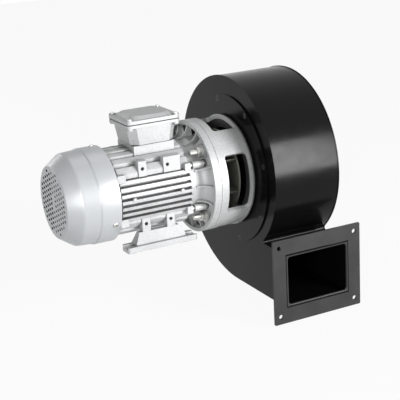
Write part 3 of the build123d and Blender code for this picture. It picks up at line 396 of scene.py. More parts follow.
def makeGrilleTree():  # a round sheet with staggered slots
    tree, given = newTree("slottedEnd", [
        ("Radius", "Float"), ("Field", "Float"), ("Hub", "Float"), ("Slot Width", "Float"),
        ("Slot Height", "Float"), ("Pitch X", "Float"), ("Pitch Y", "Float"), ("Columns", "Int"),
        ("Rows", "Int"), ("Dimple Ring", "Float"), ("Dimple", "Float"), ("Sheet", "Float"),
        ("Place", "Vector"), ("Finish", "Material")])
    spanX = calc(tree, "MULTIPLY", given["Pitch X"], calc(tree, "SUBTRACT", given["Columns"], 1.0))
    spanY = calc(tree, "MULTIPLY", given["Pitch Y"], calc(tree, "SUBTRACT", given["Rows"], 1.0))
    grid = put(tree, "GeometryNodeMeshGrid", {
        "Size X": spanX, "Size Y": spanY,
        "Vertices X": given["Columns"], "Vertices Y": given["Rows"]}).outputs[0]
    place = put(tree, "GeometryNodeInputPosition").outputs[0]
    across = put(tree, "ShaderNodeSeparateXYZ", {0: place}).outputs["Y"]
    row = calc(tree, "ROUND", calc(tree, "DIVIDE", across, given["Pitch Y"]))
    odd = calc(tree, "MODULO", calc(tree, "ABSOLUTE", row), 2.0)
    shift = calc(tree, "MULTIPLY", odd, calc(tree, "MULTIPLY", given["Pitch X"], 0.5))
    grid = put(tree, "GeometryNodeSetPosition", {
        "Geometry": grid, "Offset": vec(tree, shift)}).outputs[0]
    far = put(tree, "ShaderNodeVectorMath", {0: place}, operation="LENGTH").outputs["Value"]
    out = calc(tree, "ADD", calc(tree, "GREATER_THAN", far, given["Field"]),
               calc(tree, "LESS_THAN", far, given["Hub"]))
    kept = put(tree, "GeometryNodeDeleteGeometry", {"Geometry": grid, "Selection": out},
               domain="POINT").outputs[0]
    slot = put(tree, "GeometryNodeCurvePrimitiveQuadrilateral", {
        "Width": given["Slot Width"], "Height": given["Slot Height"]}).outputs[0]
    slots = put(tree, "GeometryNodeInstanceOnPoints", {
        "Points": kept, "Instance": slot}).outputs[0]
    ringPoints = put(tree, "GeometryNodeMeshCircle", {
        "Vertices": 3, "Radius": given["Dimple Ring"]}).outputs[0]
    dimple = put(tree, "GeometryNodeCurvePrimitiveCircle", {
        "Resolution": 10, "Radius": given["Dimple"]}).outputs[0]
    dimples = put(tree, "GeometryNodeInstanceOnPoints", {
        "Points": ringPoints, "Instance": dimple}).outputs[0]
    rim = put(tree, "GeometryNodeCurvePrimitiveCircle", {
        "Resolution": 144, "Radius": given["Radius"]}).outputs[0]
    lines = put(tree, "GeometryNodeRealizeInstances", {
        0: joined(tree, (slots, dimples, rim))}).outputs[0]
    sheet = put(tree, "GeometryNodeFillCurve", {"Curve": lines}, mode="TRIANGLES").outputs[0]
    raised = put(tree, "GeometryNodeExtrudeMesh", {
        "Mesh": sheet, "Offset": vec(tree, 0.0, 0.0, 1.0), "Offset Scale": given["Sheet"],
        "Individual": False}).outputs[0]
    back = put(tree, "GeometryNodeFlipFaces", {0: sheet}).outputs[0]
    merged = put(tree, "GeometryNodeMergeByDistance", {
        "Geometry": joined(tree, (raised, back)), "Distance": 0.001 * mm}).outputs[0]
    return finishTree(tree, given, merged, (0, -quarter, 0))


def makeSheetTree():  # a flat strip bent along a path
    tree, given = newTree("sheetAlongPath", [
        ("Path", "Object"), ("Thickness", "Float"), ("Width", "Float"), ("Edge", "Float"),
        ("Facing", "Vector"), ("Place", "Vector"), ("Finish", "Material")])
    source = put(tree, "GeometryNodeObjectInfo", {"Object": given["Path"]}).outputs["Geometry"]
    path = put(tree, "GeometryNodeMeshToCurve", {"Mesh": source}).outputs[0]
    upright = put(tree, "GeometryNodeSetCurveNormal", {"Curve": path}, mode="Z_UP").outputs[0]
    section = put(tree, "GeometryNodeCurvePrimitiveQuadrilateral", {
        "Width": given["Thickness"], "Height": given["Width"]}).outputs[0]
    rounded = put(tree, "GeometryNodeFilletCurve", {
        "Curve": section, "Radius": given["Edge"], "Count": 2}, mode="POLY").outputs[0]
    sheet = put(tree, "GeometryNodeCurveToMesh", {
        "Curve": upright, "Profile Curve": rounded, "Fill Caps": True}).outputs[0]
    return finishTree(tree, given, sheet, given["Facing"])


ringTree, gridTree = makeRingTree(), makeGridTree()
grilleTree, sheetTree = makeGrilleTree(), makeSheetTree()
print("node trees built")


# Material helpers

def shader(name, colour, metallic, roughness, **extra):
    mat = bpy.data.materials.new(name)
    mat.use_nodes = True
    bsdf = mat.node_tree.nodes["Principled BSDF"]
    bsdf.inputs["Base Color"].default_value = (*colour, 1)
    bsdf.inputs["Metallic"].default_value = metallic
    bsdf.inputs["Roughness"].default_value = roughness
    for socket, value in extra.items():
        bsdf.inputs[socket.replace("_", " ")].default_value = value
    return mat, bsdf


def addNode(mat, kind, inputs=None, **settings):
    return put(mat.node_tree, kind, inputs, **settings)


def wire(mat, bsdf, socket, output):
    mat.node_tree.links.new(output, bsdf.inputs[socket])


def objectCoords(mat, stretch=(1, 1, 1)):
    coords = addNode(mat, "ShaderNodeTexCoord").outputs["Object"]
    mapped = addNode(mat, "ShaderNodeMapping", {"Vector": coords, "Scale": stretch})
    return mapped.outputs["Vector"]


def noise(mat, vector, scale, detail=3.0, roughness=0.5):
    sizes = {"Vector": vector, "Scale": scale, "Detail": detail, "Roughness": roughness}
    return addNode(mat, "ShaderNodeTexNoise", sizes).outputs["Fac"]


def ramp(mat, factor, *stops):  # stops of (place, colour)
    node = addNode(mat, "ShaderNodeValToRGB", {"Fac": factor})
    line = node.color_ramp
    for element, (place, colour) in zip(line.elements, (stops[0], stops[-1])):
        element.position, element.color = place, (*colour, 1)
    for place, colour in stops[1:-1]:
        line.elements.new(place).color = (*colour, 1)
    return node.outputs["Color"]


def remap(mat, factor, low, high, fromLow=0.3, fromHigh=0.7):
    limits = {"Value": factor, "From Min": fromLow, "From Max": fromHigh, "To Min": low,
              "To Max": high}
    return addNode(mat, "ShaderNodeMapRange", limits).outputs["Result"]


def mixed(mat, factor, first, second, blend="MIX"):
    return addNode(mat, "ShaderNodeMix", {"Factor": factor, 6: first, 7: second},
                   data_type="RGBA", blend_type=blend).outputs[2]


def vectorMath(mat, operation, a, b=(0, 0, 0), output="Vector"):
    return addNode(mat, "ShaderNodeVectorMath", {0: a, 1: b}, operation=operation).outputs[output]


def bump(mat, bsdf, *layers):  # layers of (height, strength, distance in mm)
    normal = None
    for height, strength, distance in layers:
        inputs = {"Height": height, "Strength": strength, "Distance": distance * mm}
        if normal:
            inputs["Normal"] = normal
        normal = addNode(mat, "ShaderNodeBump", inputs).outputs["Normal"]
    wire(mat, bsdf, "Normal", normal)


def grey(value, tint=(1.0, 1.0, 1.0)):
    return tuple(value * t for t in tint)


def shades(colour, spread):  # the colour made darker and lighter by the same share
    return (tuple(c * (1 - spread) for c in colour),
            tuple(min(1.0, c * (1 + spread)) for c in colour))


# Materials

castLook = {"base": 0.45, "spread": 0.04, "metallic": 0.15, "roughness": 0.42, "grain": 650.0,
            "grainDepth": 0.07}
# bore False: the wheel gets no painted shade in a bore
wheelLook = {"base": 0.16, "spread": 0.03, "metallic": 0.6, "roughness": 0.5, "grain": 500.0,
             "grainDepth": 0.05, "tint": (1.0, 1.0, 0.86), "bore": False}
castSkin = {"patches": 22.0, "dark": 0.86, "light": 1.08, "smoother": 0.06, "rougher": 0.10}
# painted shade with some grime in corners, pockets and fins
cavityShadeLook = {"reach": 14.0, "samples": 6, "uneven": 0.06, "low": 0.2, "high": 0.75, "dark": 0.42}
lanternBoreShade = {"from": 85.5, "reach": 73.3, "dark": 0.03}  # painted shade: the lantern's bore is coloured near black
# inside: colour of the painted shade on the shell's inner faces
coverLook = {"base": 0.435, "spread": 0.02, "metallic": 0.25, "roughness": 0.34, "patches": 14.0,
             "flake": 1500.0, "tint": (0.97, 1.0, 1.03), "inside": 0.03, "endLean": 0.4,
             "turnedIn": -0.003}
paintLook = {"base": 0.003, "roughness": 0.21, "specular": 0.12, "peel": 160.0,
             "peelDepth": 0.015, "dust": 60.0}
flangeLook = {"base": 0.02, "spread": 0.006, "roughness": (0.36, 0.42, 0.52), "specular": 0.3,
              "patches": 30.0, "grain": 700.0}


def cavityShadeAndGrime(mat, colour, patches):  # painted shade with some grime: the colour is darkened by ambient occlusion in corners, pockets and fins
    look = cavityShadeLook
    bare = addNode(mat, "ShaderNodeAmbientOcclusion", {"Distance": look["reach"] * mm},
                   samples=look["samples"]).outputs["AO"]
    uneven = calc(mat.node_tree, "ADD", bare, remap(mat, patches, -look["uneven"], look["uneven"]))
    share = remap(mat, uneven, look["dark"], 1.0, look["low"], look["high"])
    return mixed(mat, 1.0, colour, share, "MULTIPLY")


def fromShaft(mat, place, along=0.0):  # vector from the shaft, with a share of the place along it
    return vectorMath(mat, "MULTIPLY", vectorMath(mat, "ADD", place, (0, 0, -shaftZ * mm)),
                      (along, 1, 1))


def paintedBoreShade(mat, colour, place):
    # Painted shade: faces inside the lantern's bore, found by place along and round the shaft, are
    # coloured near black.
    look, tree = lanternBoreShade, mat.node_tree
    radius = vectorMath(mat, "LENGTH", fromShaft(mat, place), output="Value")
    near = calc(tree, "LESS_THAN", radius, look["reach"] * mm)
    x = addNode(mat, "ShaderNodeSeparateXYZ", {0: place}).outputs["X"]
    past = calc(tree, "GREATER_THAN", x, look["from"] * mm)
    return mixed(mat, calc(tree, "MULTIPLY", near, past), colour, (*grey(look["dark"]), 1))


def castAluminium(name, base, spread, metallic, roughness, grain, grainDepth,
                  tint=(0.99, 1.0, 1.01), bore=True):
    skin = castSkin
    mat, bsdf = shader(name, grey(base), metallic, roughness)
    place = objectCoords(mat)
    broad = noise(mat, place, skin["patches"], 4.0)
    fine = noise(mat, place, grain, 2.0, 0.6)
    pits = addNode(mat, "ShaderNodeTexVoronoi", {
        "Vector": place, "Scale": grain * 0.5}).outputs["Distance"]
    colour = ramp(mat, broad, (0.3, grey(base - spread, tint)), (0.52, grey(base, tint)),
                  (0.7, grey(base + spread, tint)))
    speckle = remap(mat, fine, skin["dark"], skin["light"], 0.35, 0.65)  # sandy skin
    colour = mixed(mat, 1.0, colour, speckle, "MULTIPLY")
    # bore: paint shade, near black, into the lantern's bore
    if bore:
        colour = paintedBoreShade(mat, colour, place)
    # painted shade with some grime darkens the colour in corners, pockets and fins
    wire(mat, bsdf, "Base Color", cavityShadeAndGrime(mat, colour, broad))
    wire(mat, bsdf, "Roughness", remap(mat, fine, roughness - skin["smoother"],
                                       roughness + skin["rougher"]))
    bump(mat, bsdf, (fine, 0.5, grainDepth), (pits, 0.25, grainDepth), (broad, 0.2, 0.1))
    return mat


def makeCoverSilver():
    look = coverLook
    base, spread, roughness = look["base"], look["spread"], look["roughness"]
    mat, bsdf = shader("coverSilver", grey(base), look["metallic"], roughness)
    place = objectCoords(mat)
    broad = noise(mat, place, look["patches"], 3.0)
    flake = noise(mat, place, look["flake"], 1.0)
    outer = ramp(mat, broad, (0.3, grey(base - spread, look["tint"])),
                 (0.7, grey(base + spread, look["tint"])))
    normal = addNode(mat, "ShaderNodeNewGeometry").outputs["Normal"]
    outwards = fromShaft(mat, place, look["endLean"])
    lean = vectorMath(mat, "DOT_PRODUCT", outwards, normal, "Value")
    inside = calc(mat.node_tree, "LESS_THAN", lean, look["turnedIn"])  # painted shade: faces turned towards the shaft are coloured near black
    wire(mat, bsdf, "Base Color", mixed(mat, inside, outer, (*grey(look["inside"]), 1)))
    wire(mat, bsdf, "Roughness", remap(mat, flake, roughness - 0.05, roughness + 0.08))
    bump(mat, bsdf, (flake, 0.25, 0.012), (broad, 0.15, 0.15))
    return mat


def makeCasingBlack():
    look = paintLook
    roughness = look["roughness"]
    mat, bsdf = shader("casingBlack", grey(look["base"]), 0.0, roughness,
                       Specular_IOR_Level=look["specular"])
    place = objectCoords(mat)
    peel = noise(mat, place, look["peel"], 2.0)
    dust = noise(mat, place, look["dust"], 6.0, 0.7)
    wire(mat, bsdf, "Roughness", remap(mat, dust, roughness - 0.02, roughness + 0.08, 0.4, 0.8))
    bump(mat, bsdf, (peel, 0.15, look["peelDepth"]))
    return mat


def makeFlangeDark():
    look = flangeLook
    smooth, usual, rough = look["roughness"]
    mat, bsdf = shader("flangeDark", grey(look["base"]), 0.0, usual,
                       Specular_IOR_Level=look["specular"])
    place = objectCoords(mat)
    fine = noise(mat, place, look["grain"])
    broad = noise(mat, place, look["patches"], 4.0)
    wire(mat, bsdf, "Base Color", ramp(mat, broad, (0.3, grey(look["base"] - look["spread"])),
                                       (0.75, grey(look["base"] + look["spread"]))))
    wire(mat, bsdf, "Roughness", remap(mat, fine, smooth, rough))
    bump(mat, bsdf, (fine, 0.3, 0.03))
    return mat


def metal(name, colour, roughness, scale=400.0, spread=0.06, stretch=(1, 1, 1)):
    mat, bsdf = shader(name, colour, 1.0, roughness)
    place = objectCoords(mat, stretch)
    fine = noise(mat, place, scale)
    broad = noise(mat, place, scale * 0.05, 4.0)
    dark, light = shades(colour, spread)
    wire(mat, bsdf, "Base Color", ramp(mat, broad, (0.3, dark), (0.7, light)))
    wire(mat, bsdf, "Roughness", remap(mat, fine, roughness - 0.06, roughness + 0.1))
    bump(mat, bsdf, (fine, 0.3, 0.01))
    return mat


def dull(name, colour, roughness, scale=300.0, spread=0.25):
    mat, bsdf = shader(name, colour, 0.0, roughness)
    place = objectCoords(mat)
    fine = noise(mat, place, scale)
    broad = noise(mat, place, scale * 0.08)
    dark, light = shades(colour, spread)
    wire(mat, bsdf, "Base Color", ramp(mat, broad, (0.3, dark), (0.7, light)))
    wire(mat, bsdf, "Roughness", remap(mat, fine, roughness - 0.05, roughness + 0.1))
    bump(mat, bsdf, (fine, 0.35, 0.03))
    return mat


def layered(name, dark, light, metallic, roughness, pitch, axis):  # sheets or wires side by side
    mat, bsdf = shader(name, light, metallic, roughness)
    wave = addNode(mat, "ShaderNodeTexWave", {
        "Vector": objectCoords(mat), "Scale": 1 / (20 * pitch * mm), "Distortion": 0.6,
        "Detail": 1.0}, bands_direction=axis).outputs["Fac"]
    wire(mat, bsdf, "Base Color", ramp(mat, wave, (0.1, dark), (0.7, light)))
    bump(mat, bsdf, (wave, 0.6, 0.2))
    return mat


materials = {
    "cast_aluminium": castAluminium("castAluminium", **castLook),
    "cover_silver": makeCoverSilver(),
    "casing_black": makeCasingBlack(),
    "flange_black": makeFlangeDark(),
    "zinc_steel": metal("zincSteel", (0.56, 0.56, 0.54), 0.36),
    "machined_steel": metal("machinedSteel", (0.60, 0.60, 0.61), 0.24, 900.0, 0.05, (0.15, 1, 1)),
    "core_steel": layered("laminatedSteel", grey(0.10), grey(0.36), 0.8, 0.45, 0.5, "X"),
    "copper_coils": layered("varnishedCopper", (0.20, 0.06, 0.02), (0.62, 0.26, 0.10), 0.9, 0.35,
                            0.8, "Y"),
    "black_rubber": dull("blackRubber", grey(0.03), 0.6),
    "black_plastic": dull("blackPlastic", grey(0.04), 0.4, 500.0),
    "wheel_grey": castAluminium("wheelAluminium", **wheelLook),
    "impeller_steel": metal("galvanisedSteel", (0.52, 0.53, 0.54), 0.34, 120.0, 0.12),
}
slotOf = {part["node"]: part["material_slot"] for part in frame["record"]["subparts"]}
for nodeName, cadNode in frame["nodes"].items():
    cadNode.data.materials.clear()
    cadNode.data.materials.append(materials[slotOf[nodeName]])
print("materials ready:", len(materials))


def stand(obj, body, node):  # a piece that takes the place of a CAD node
    key = slotOf[node]
    obj.data.materials.clear()
    obj.data.materials.append(materials[key])
    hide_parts(node)
    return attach(obj, body)


# Castings and sheet pieces, with the rounded edges of the real ones

roundedEdges = {  # name, width in mm, segments
    "motor_frame": ("motorFrame", 0.9, 3),
    "left_foot": ("footLeft", 1.0, 3),
    "right_foot": ("footRight", 1.0, 3),
    "terminal_box": ("terminalBox", 0.8, 3),
    "terminal_lid": ("terminalLid", 0.6, 2, 0),
    "front_flange_shield": ("flangeShield", 0.45, 2),
    "rear_end_shield": ("rearShield", 0.6, 2),
    "lantern": ("lanternRing", 0.8, 3),
    "mounting_plate": ("mountingPlate", 0.35, 2),
    "scroll_back_plate": ("scrollBackPlate", 0.3, 2),
    "scroll_front_plate": ("scrollFrontPlate", 0.3, 2),
    "outlet_flange": ("outletFlange", 0.2, 2),
    "inlet_cone": ("inletCone", 0.3, 2),
    "cable_gland": ("cableGland", 0.4, 2),
}
for cadName, edgeSettings in roundedEdges.items():
    stand(castCopy(cadName, *edgeSettings), "stator", cadName)
print("castings and sheets rounded:", len(roundedEdges))


# Casing wrap: one strip bent along a volute of four quarter arcs, the tongue and the duct

volute = {"step": 13.0, "u": 1.5, "v": -4.0, "radius": 131.8, "ductHeight": 77.9, "tongue": 3.5,
          "outlet": 145.6, "inset": 0.8, "sheet": 1.5, "x": (144.5, 244.5), "edge": 0.3,
          "perTurn": 160, "fewest": 8, "sharpAngle": 40, "evenness": 100}


def volutePath(w):  # middle of the sheet as (across, up) from the shaft, in mm
    half, inset = w["step"] / 2, w["inset"] + w["sheet"] / 2
    right, left, high, low = w["u"] + half, w["u"] - half, w["v"] + half, w["v"] - half
    bottom = low - (w["radius"] + 2 * w["step"])
    top = bottom + w["ductHeight"]
    r2 = w["radius"] - inset
    r1, r3, r4 = r2 - w["step"], r2 + w["step"], r2 + 2 * w["step"]
    turnR = w["tongue"] + inset
    tongueV = top + w["tongue"]
    tongueU = right + math.sqrt((r1 + turnR) ** 2 - (tongueV - high) ** 2)
    lean = math.degrees(math.atan2(tongueV - high, tongueU - right))
    arcs = [((right, low), r4, 270, -90), ((left, low), r3, 180, -90),
            ((left, high), r2, 90, -90), ((right, high), r1, 0, lean),
            ((tongueU, tongueV), turnR, lean + 180, 90 - lean)]
    points = [(w["outlet"], bottom + inset)]
    for centre, radius, start, sweep in arcs:
        count = max(w["fewest"], round(w["perTurn"] * abs(sweep) / 360))
        for k in range(count + 1):
            angle = math.radians(start + sweep * k / count)
            point = (centre[0] + radius * math.cos(angle), centre[1] + radius * math.sin(angle))
            if math.dist(point, points[-1]) > 0.01:
                points.append(point)
    points.append((w["outlet"], top - inset))
    return points


def makeScrollWrap(w):
    points = volutePath(w)
    line = bpy.data.meshes.new("path")
    line.from_pydata([(u * mm, v * mm, 0) for u, v in points],
                     [(k, k + 1) for k in range(len(points) - 1)], [])
    path = linkMesh("path", line)
    rear, front = w["x"]
    facing = Matrix(((0, 0, -1), (-1, 0, 0), (0, 1, 0))).to_euler()
    piece = grow("scrollWrap", sheetTree, {
        "Path": path, "Thickness": w["sheet"] * mm, "Width": (front - rear) * mm,
        "Edge": w["edge"] * mm, "Facing": tuple(facing),
        "Place": ((rear + front) / 2 * mm, 0, shaftZ * mm),
        "Finish": materials["casing_black"]}, w["sharpAngle"])
    bpy.data.objects.remove(path)
    stand(evenShading(piece, w["evenness"]), "stator", "scroll_wrap")


makeScrollWrap(volute)
print("casing wrap bent")


# Outlet lip: the duct's end folded and welded inside the flange, with rounded corners

outletLip = {"x": (144.5, 244.5), "z": (-166.0, -92.7), "front": -145.57, "depth": 3.0,
             "width": 2.0, "bury": 1.2, "corner": 5.0, "buriedCorner": 0.4, "edge": 0.7,
             "steps": 8, "sharpAngle": 40}


def makeOutletLip(lip):
    (left, right), (low, high) = lip["x"], lip["z"]
    inset, edge, front = lip["width"], lip["edge"], lip["front"]
    back = front + lip["depth"]
    section = [(-lip["bury"], back), (-lip["bury"], front), (inset - edge, front),
               (inset - 0.3 * edge, front + 0.3 * edge), (inset, front + edge), (inset, back)]
    bm = bmesh.new()
    rings = []
    for gap, y in section:
        corner = lip["buriedCorner"]
        if gap > 0:
            corner = max(corner, lip["corner"] - inset + gap)
        box = [(left + gap, low + gap), (right - gap, low + gap),
               (right - gap, high - gap), (left + gap, high - gap)]
        rings.append([bm.verts.new((x * mm, y * mm, (shaftZ + z) * mm))
                      for x, z in roundOff(box, [corner] * 4, lip["steps"])])
    stitch(bm, rings, loop=True)
    bmesh.ops.recalc_face_normals(bm, faces=bm.faces)
    mesh = meshFrom("outletLip", bm)
    smoothMesh(mesh, lip["sharpAngle"])
    mesh.materials.append(materials["flange_black"])
    piece = linkMesh("outletLip", mesh)
    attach(piece, "stator")


makeOutletLip(outletLip)
print("outlet lip made")


# Fan cover: a drawn shell and its slotted end

coverSize = {
    "outline": [(-127.4, 47.5), (-127.4, 50.0), (-108.0, 63.5), (-86.0, 64.9), (-84.0, 66.2),
                (-56.6, 66.2), (-56.6, 65.0), (-83.4, 65.0), (-85.4, 63.7), (-107.6, 62.3),
                (-126.2, 49.6), (-126.2, 47.5)],
    "corners": [0, 1.6, 8.0, 2.5, 2.5, 0.4, 0.4, 2.0, 2.0, 8.0, 1.2, 0],
    "sharpAngle": 50, "endX": -127.4, "sheet": 1.2, "endRadius": 47.5, "field": 43.8,
    "hub": 7.0, "slot": (3.3, 5.4), "pitch": (6.8, 7.8), "columns": 17, "rows": 11,
    "dimpleRing": 4.0, "dimple": 0.8,
}


def makeFanCover(size):
    shell = turnedPiece("fanCoverShell", size["outline"], size["corners"], size["sharpAngle"])
    stand(shell, "stator", "fan_cover")
    grille = grow("fanCoverEnd", grilleTree, {
        "Radius": size["endRadius"] * mm, "Field": size["field"] * mm, "Hub": size["hub"] * mm,
        "Slot Width": size["slot"][0] * mm, "Slot Height": size["slot"][1] * mm,
        "Pitch X": size["pitch"][0] * mm, "Pitch Y": size["pitch"][1] * mm,
        "Columns": size["columns"], "Rows": size["rows"],
        "Dimple Ring": size["dimpleRing"] * mm, "Dimple": size["dimple"] * mm,
        "Sheet": size["sheet"] * mm, "Finish": materials["cover_silver"],
        "Place": ((size["endX"] + size["sheet"]) * mm, 0, shaftZ * mm)})
    stand(grille, "stator", "fan_cover")


makeFanCover(coverSize)
print("fan cover made")


# Screws, bolts, nuts and rivets in rings round the shaft; facing is 1 for heads to the casing

fastenerSpin = {"seed": 7, "turn": math.pi}
flangeBolt = {"flats": 13.0, "head": 5.3, "shank": 4.0, "length": 37.0, "thread": 22.0,
              "nut": 6.5, "washer": (7.8, 1.6), "count": 4, "circle": 65.0, "phase": 45.0,
              "seatX": 94.0, "nutX": 75.0}
smallScrew = {"shank": 2.5, "head": 4.2, "sink": 1.5, "nut": (8.0, 4.0)}
plateScrew = {"length": 9.0, "nutAt": -8.0, "count": 8, "circle": 102.0, "phase": 13.4,
              "x": 140.5, "facing": -1}
inletScrew = {"length": 8.0, "nutAt": -7.0, "count": 6, "circle": 84.0, "phase": 0.0,
              "x": 247.5, "facing": 1}
lanternScrew = {"shank": 3.0, "head": 5.6, "height": 3.0, "length": 8.5, "count": 4,
                "circle": 68.0, "phase": 45.0, "x": 143.0}
coverScrew = {"shank": 2.0, "head": 3.6, "height": 1.8, "length": 6.8, "count": 3,
              "seatR": 66.3, "phase": -25.0, "x": -65.0}
rivet = {"shank": 2.0, "head": 3.2, "height": 1.2, "grip": 5.0, "count": 6, "circle": 21.5,
         "x": 152.0}
hubBolt = {"flats": 10.0, "head": 4.0, "shank": 3.0, "length": 22.0, "thread": 12.0, "x": 183.0}


def ringOf(name, body, node, source, count, radius, phase, x, facing, follow=0.0, spin=True):
    turn = math.radians(-90 - phase if facing > 0 else phase - 90)
    piece = grow(name, ringTree, {
        "Source": source, "Count": count, "Radius": radius * mm, "Phase": turn,
        "Step": 2 * math.pi / count, "Follow": follow,
        "Spin": fastenerSpin["turn"] if spin else 0.0, "Seed": fastenerSpin["seed"],
        "Facing": facing * quarter, "Place": (x * mm, 0, shaftZ * mm),
        "Finish": materials[slotOf[node]]})
    bpy.data.objects.remove(source)
    return stand(piece, body, node)


def makeFlangeBolts(b):
    bore, (washerR, thick) = b["shank"] + nutGap, b["washer"]
    bolt = sourceShape("bolt", (hexBolt, b["flats"], b["head"], b["shank"], b["length"],
                                b["thread"]))
    ringOf("flangeBolts", "stator", "flange_bolts", bolt, b["count"], b["circle"], b["phase"],
           b["seatX"], 1)
    nut = sourceShape("nut", (washer, 0.0, thick, washerR, bore),
                      (hexNut, b["flats"], thick, thick + b["nut"], bore))
    ringOf("flangeNuts", "stator", "flange_nuts", nut, b["count"], b["circle"], b["phase"],
           b["nutX"], -1)


def makeFlushScrews(name, node, s, w):
    flats, thick = s["nut"]
    shape = sourceShape("flush", (flushScrew, s["head"], s["sink"], s["shank"], w["length"]),
                        (hexNut, flats, w["nutAt"], w["nutAt"] + thick, s["shank"] + nutGap))
    ringOf(name, "stator", node, shape, w["count"], w["circle"], w["phase"], w["x"], w["facing"])


def makeLanternScrews(s):
    pan = sourceShape("pan", (panScrew, s["head"], s["height"], s["shank"], s["length"], 0.0,
                              hexagonal(hexSocket)))
    ringOf("lanternScrews", "stator", "lantern_screws", pan, s["count"], s["circle"],
           s["phase"], s["x"], 1)


def makeCoverScrews(s):
    outward = Matrix.Translation((s["seatR"] * mm, 0, 0)) @ Matrix.Rotation(quarter, 4, "Y")
    side = sourceShape("side", (panScrew, s["head"], s["height"], s["shank"], s["length"]),
                       place=outward)
    ringOf("coverScrews", "stator", "fan_cover_screws", side, s["count"], 0.0, s["phase"],
           s["x"], -1, 1.0, False)


def makeRotorFasteners(r, h):
    stud = sourceShape("rivet", (domedRivet, r["head"], r["height"], r["shank"], r["grip"]))
    ringOf("impellerRivets", "rotor", "impeller_rivets", stud, r["count"], r["circle"], 0.0,
           r["x"], -1)
    centre = sourceShape("centre", (hexBolt, h["flats"], h["head"], h["shank"], h["length"],
                                    h["thread"]))
    ringOf("impellerBolt", "rotor", "impeller_bolt", centre, 1, 0.0, 0.0, h["x"], 1)


makeFlangeBolts(flangeBolt)
makeFlushScrews("plateScrews", "mounting_plate_screws", smallScrew, plateScrew)
makeFlushScrews("inletScrews", "inlet_screws", smallScrew, inletScrew)
makeLanternScrews(lanternScrew)
makeCoverScrews(coverScrew)
makeRotorFasteners(rivet, hubBolt)
print("ring fasteners placed")


# Screws at the corners of a rectangle: end shields, feet and terminal lid

tieScrew = {"shank": 2.5, "head": 4.2, "height": 3.6, "washer": (5.5, 1.0),
            "spread": (61.0, 103.1), "frontX": 71.5, "frontLength": 27.5, "rearX": -56.0,
            "rearLength": 10.0}
footScrew = {"shank": 2.5, "head": 4.3, "height": 4.0, "length": 20.0, "spread": (37.0, 94.0),
             "at": (1.5, 0, 7.0)}
lidScrew = {"shank": 2.0, "head": 3.0, "height": 1.6, "length": 12.7, "spread": (68.0, 58.0),
            "at": (12.5, -1.5, 172.2)}


def gridOf(name, node, source, spread, place, facing):
    piece = grow(name, gridTree, {
        "Source": source, "Columns": 2, "Rows": 2, "Width": spread[0] * mm,
        "Depth": spread[1] * mm, "Spin": fastenerSpin["turn"], "Seed": fastenerSpin["seed"],
        "Facing": facing, "Place": tuple(v * mm for v in place),
        "Finish": materials[slotOf[node]]})
    bpy.data.objects.remove(source)
    return stand(piece, "stator", node)


def makeTieScrews(t):
    washerR, thick = t["washer"]
    front = sourceShape("front", (washer, 0.0, thick, washerR, t["shank"] + nutGap),
                        (panScrew, t["head"], t["height"], t["shank"], t["frontLength"], thick,
                         hexagonal(hexSocket)))
    gridOf("frontTieScrews", "front_tie_screws", front, t["spread"], (t["frontX"], 0, shaftZ),
           (0, quarter, 0))
    rear = sourceShape("rear", (panScrew, t["head"], t["height"], t["shank"], t["rearLength"],
                                0.0, hexagonal(hexSocket)))
    gridOf("rearTieScrews", "rear_tie_screws", rear, t["spread"], (t["rearX"], 0, shaftZ),
           (0, -quarter, 0))


def makeFootAndLidScrews(f, k):
    under = sourceShape("under", (panScrew, f["head"], f["height"], f["shank"], f["length"],
                                  0.0, hexagonal(hexSocket)))
    gridOf("footScrews", "foot_screws", under, f["spread"], f["at"], (math.pi, 0, 0))
    top = sourceShape("top", (panScrew, k["head"], k["height"], k["shank"], k["length"]))
    gridOf("lidScrews", "lid_screws", top, k["spread"], k["at"], (0, 0, 0))


makeTieScrews(tieScrew)
makeFootAndLidScrews(footScrew, lidScrew)
print("corner fasteners placed")


# Wheels: cooling wheel, motor fan and impeller, with blades round their hubs

coolingWheel = {"rear": 101.0, "discX": 124.5, "discT": 2.5, "radius": 60.0, "hub": 13.0,
                "bore": 7.02, "corners": [0.3, 0.8, 2.0, 0.5, 0.5, 0.3], "blades": 8,
                "bladeT": 2.0, "bladeR": 59.7, "phase": 28.0}
motorFan = {"rear": -99.0, "front": -76.0, "disc": 47.0, "discT": 2.0, "hub": 9.0, "bore": 6.02,
            "corners": [0.3, 1.0, 2.0, 0.6, 0.6, 0.3], "blades": 7, "bladeT": 2.0,
            "bladeR": 51.0, "bladeRear": -97.0, "phase": 90.0}
impeller = {"rear": 153.5, "front": 228.5, "centre": (76.0, 17.0), "curve": 17.0, "thick": 1.0,
            "sweep": 65.0, "blades": 36, "steps": 10, "phase": 90.0}
bladeRoot = {"inHub": 2, "inDisc": 1}  # how far a blade goes into its hub and disc, in mm


def slabShape(rootR, tipR, half, low, high, edge=0.35):  # flat blade along X, from low to high
    bm = bmesh.new()
    bmesh.ops.create_cube(bm, size=1.0)
    for vert in bm.verts:
        x = tipR if vert.co.x > 0 else rootR
        vert.co = Vector((x, vert.co.y * 2 * half, high if vert.co.z > 0 else low)) * mm
    bmesh.ops.bevel(bm, geom=bm.edges[:], offset=edge * mm, segments=2, affect="EDGES",
                    clamp_overlap=True)
    return linkMesh("blade", meshFrom("blade", bm))


def makeCoolingWheel(w):
    front = w["discX"] + w["discT"]
    outline = [(w["rear"], w["bore"]), (w["rear"], w["hub"]), (w["discX"], w["hub"]),
               (w["discX"], w["radius"]), (front, w["radius"]), (front, w["bore"])]
    disc = turnedPiece("coolingWheelDisc", outline, w["corners"])
    stand(disc, "rotor", "cooling_wheel")
    blade = slabShape(w["hub"] - bladeRoot["inHub"], w["bladeR"], w["bladeT"] / 2,
                      -w["discX"] - bladeRoot["inDisc"], -w["rear"])
    ringOf("coolingWheelBlades", "rotor", "cooling_wheel", blade, w["blades"], 0.0, w["phase"],
           0.0, -1, 1.0, False)


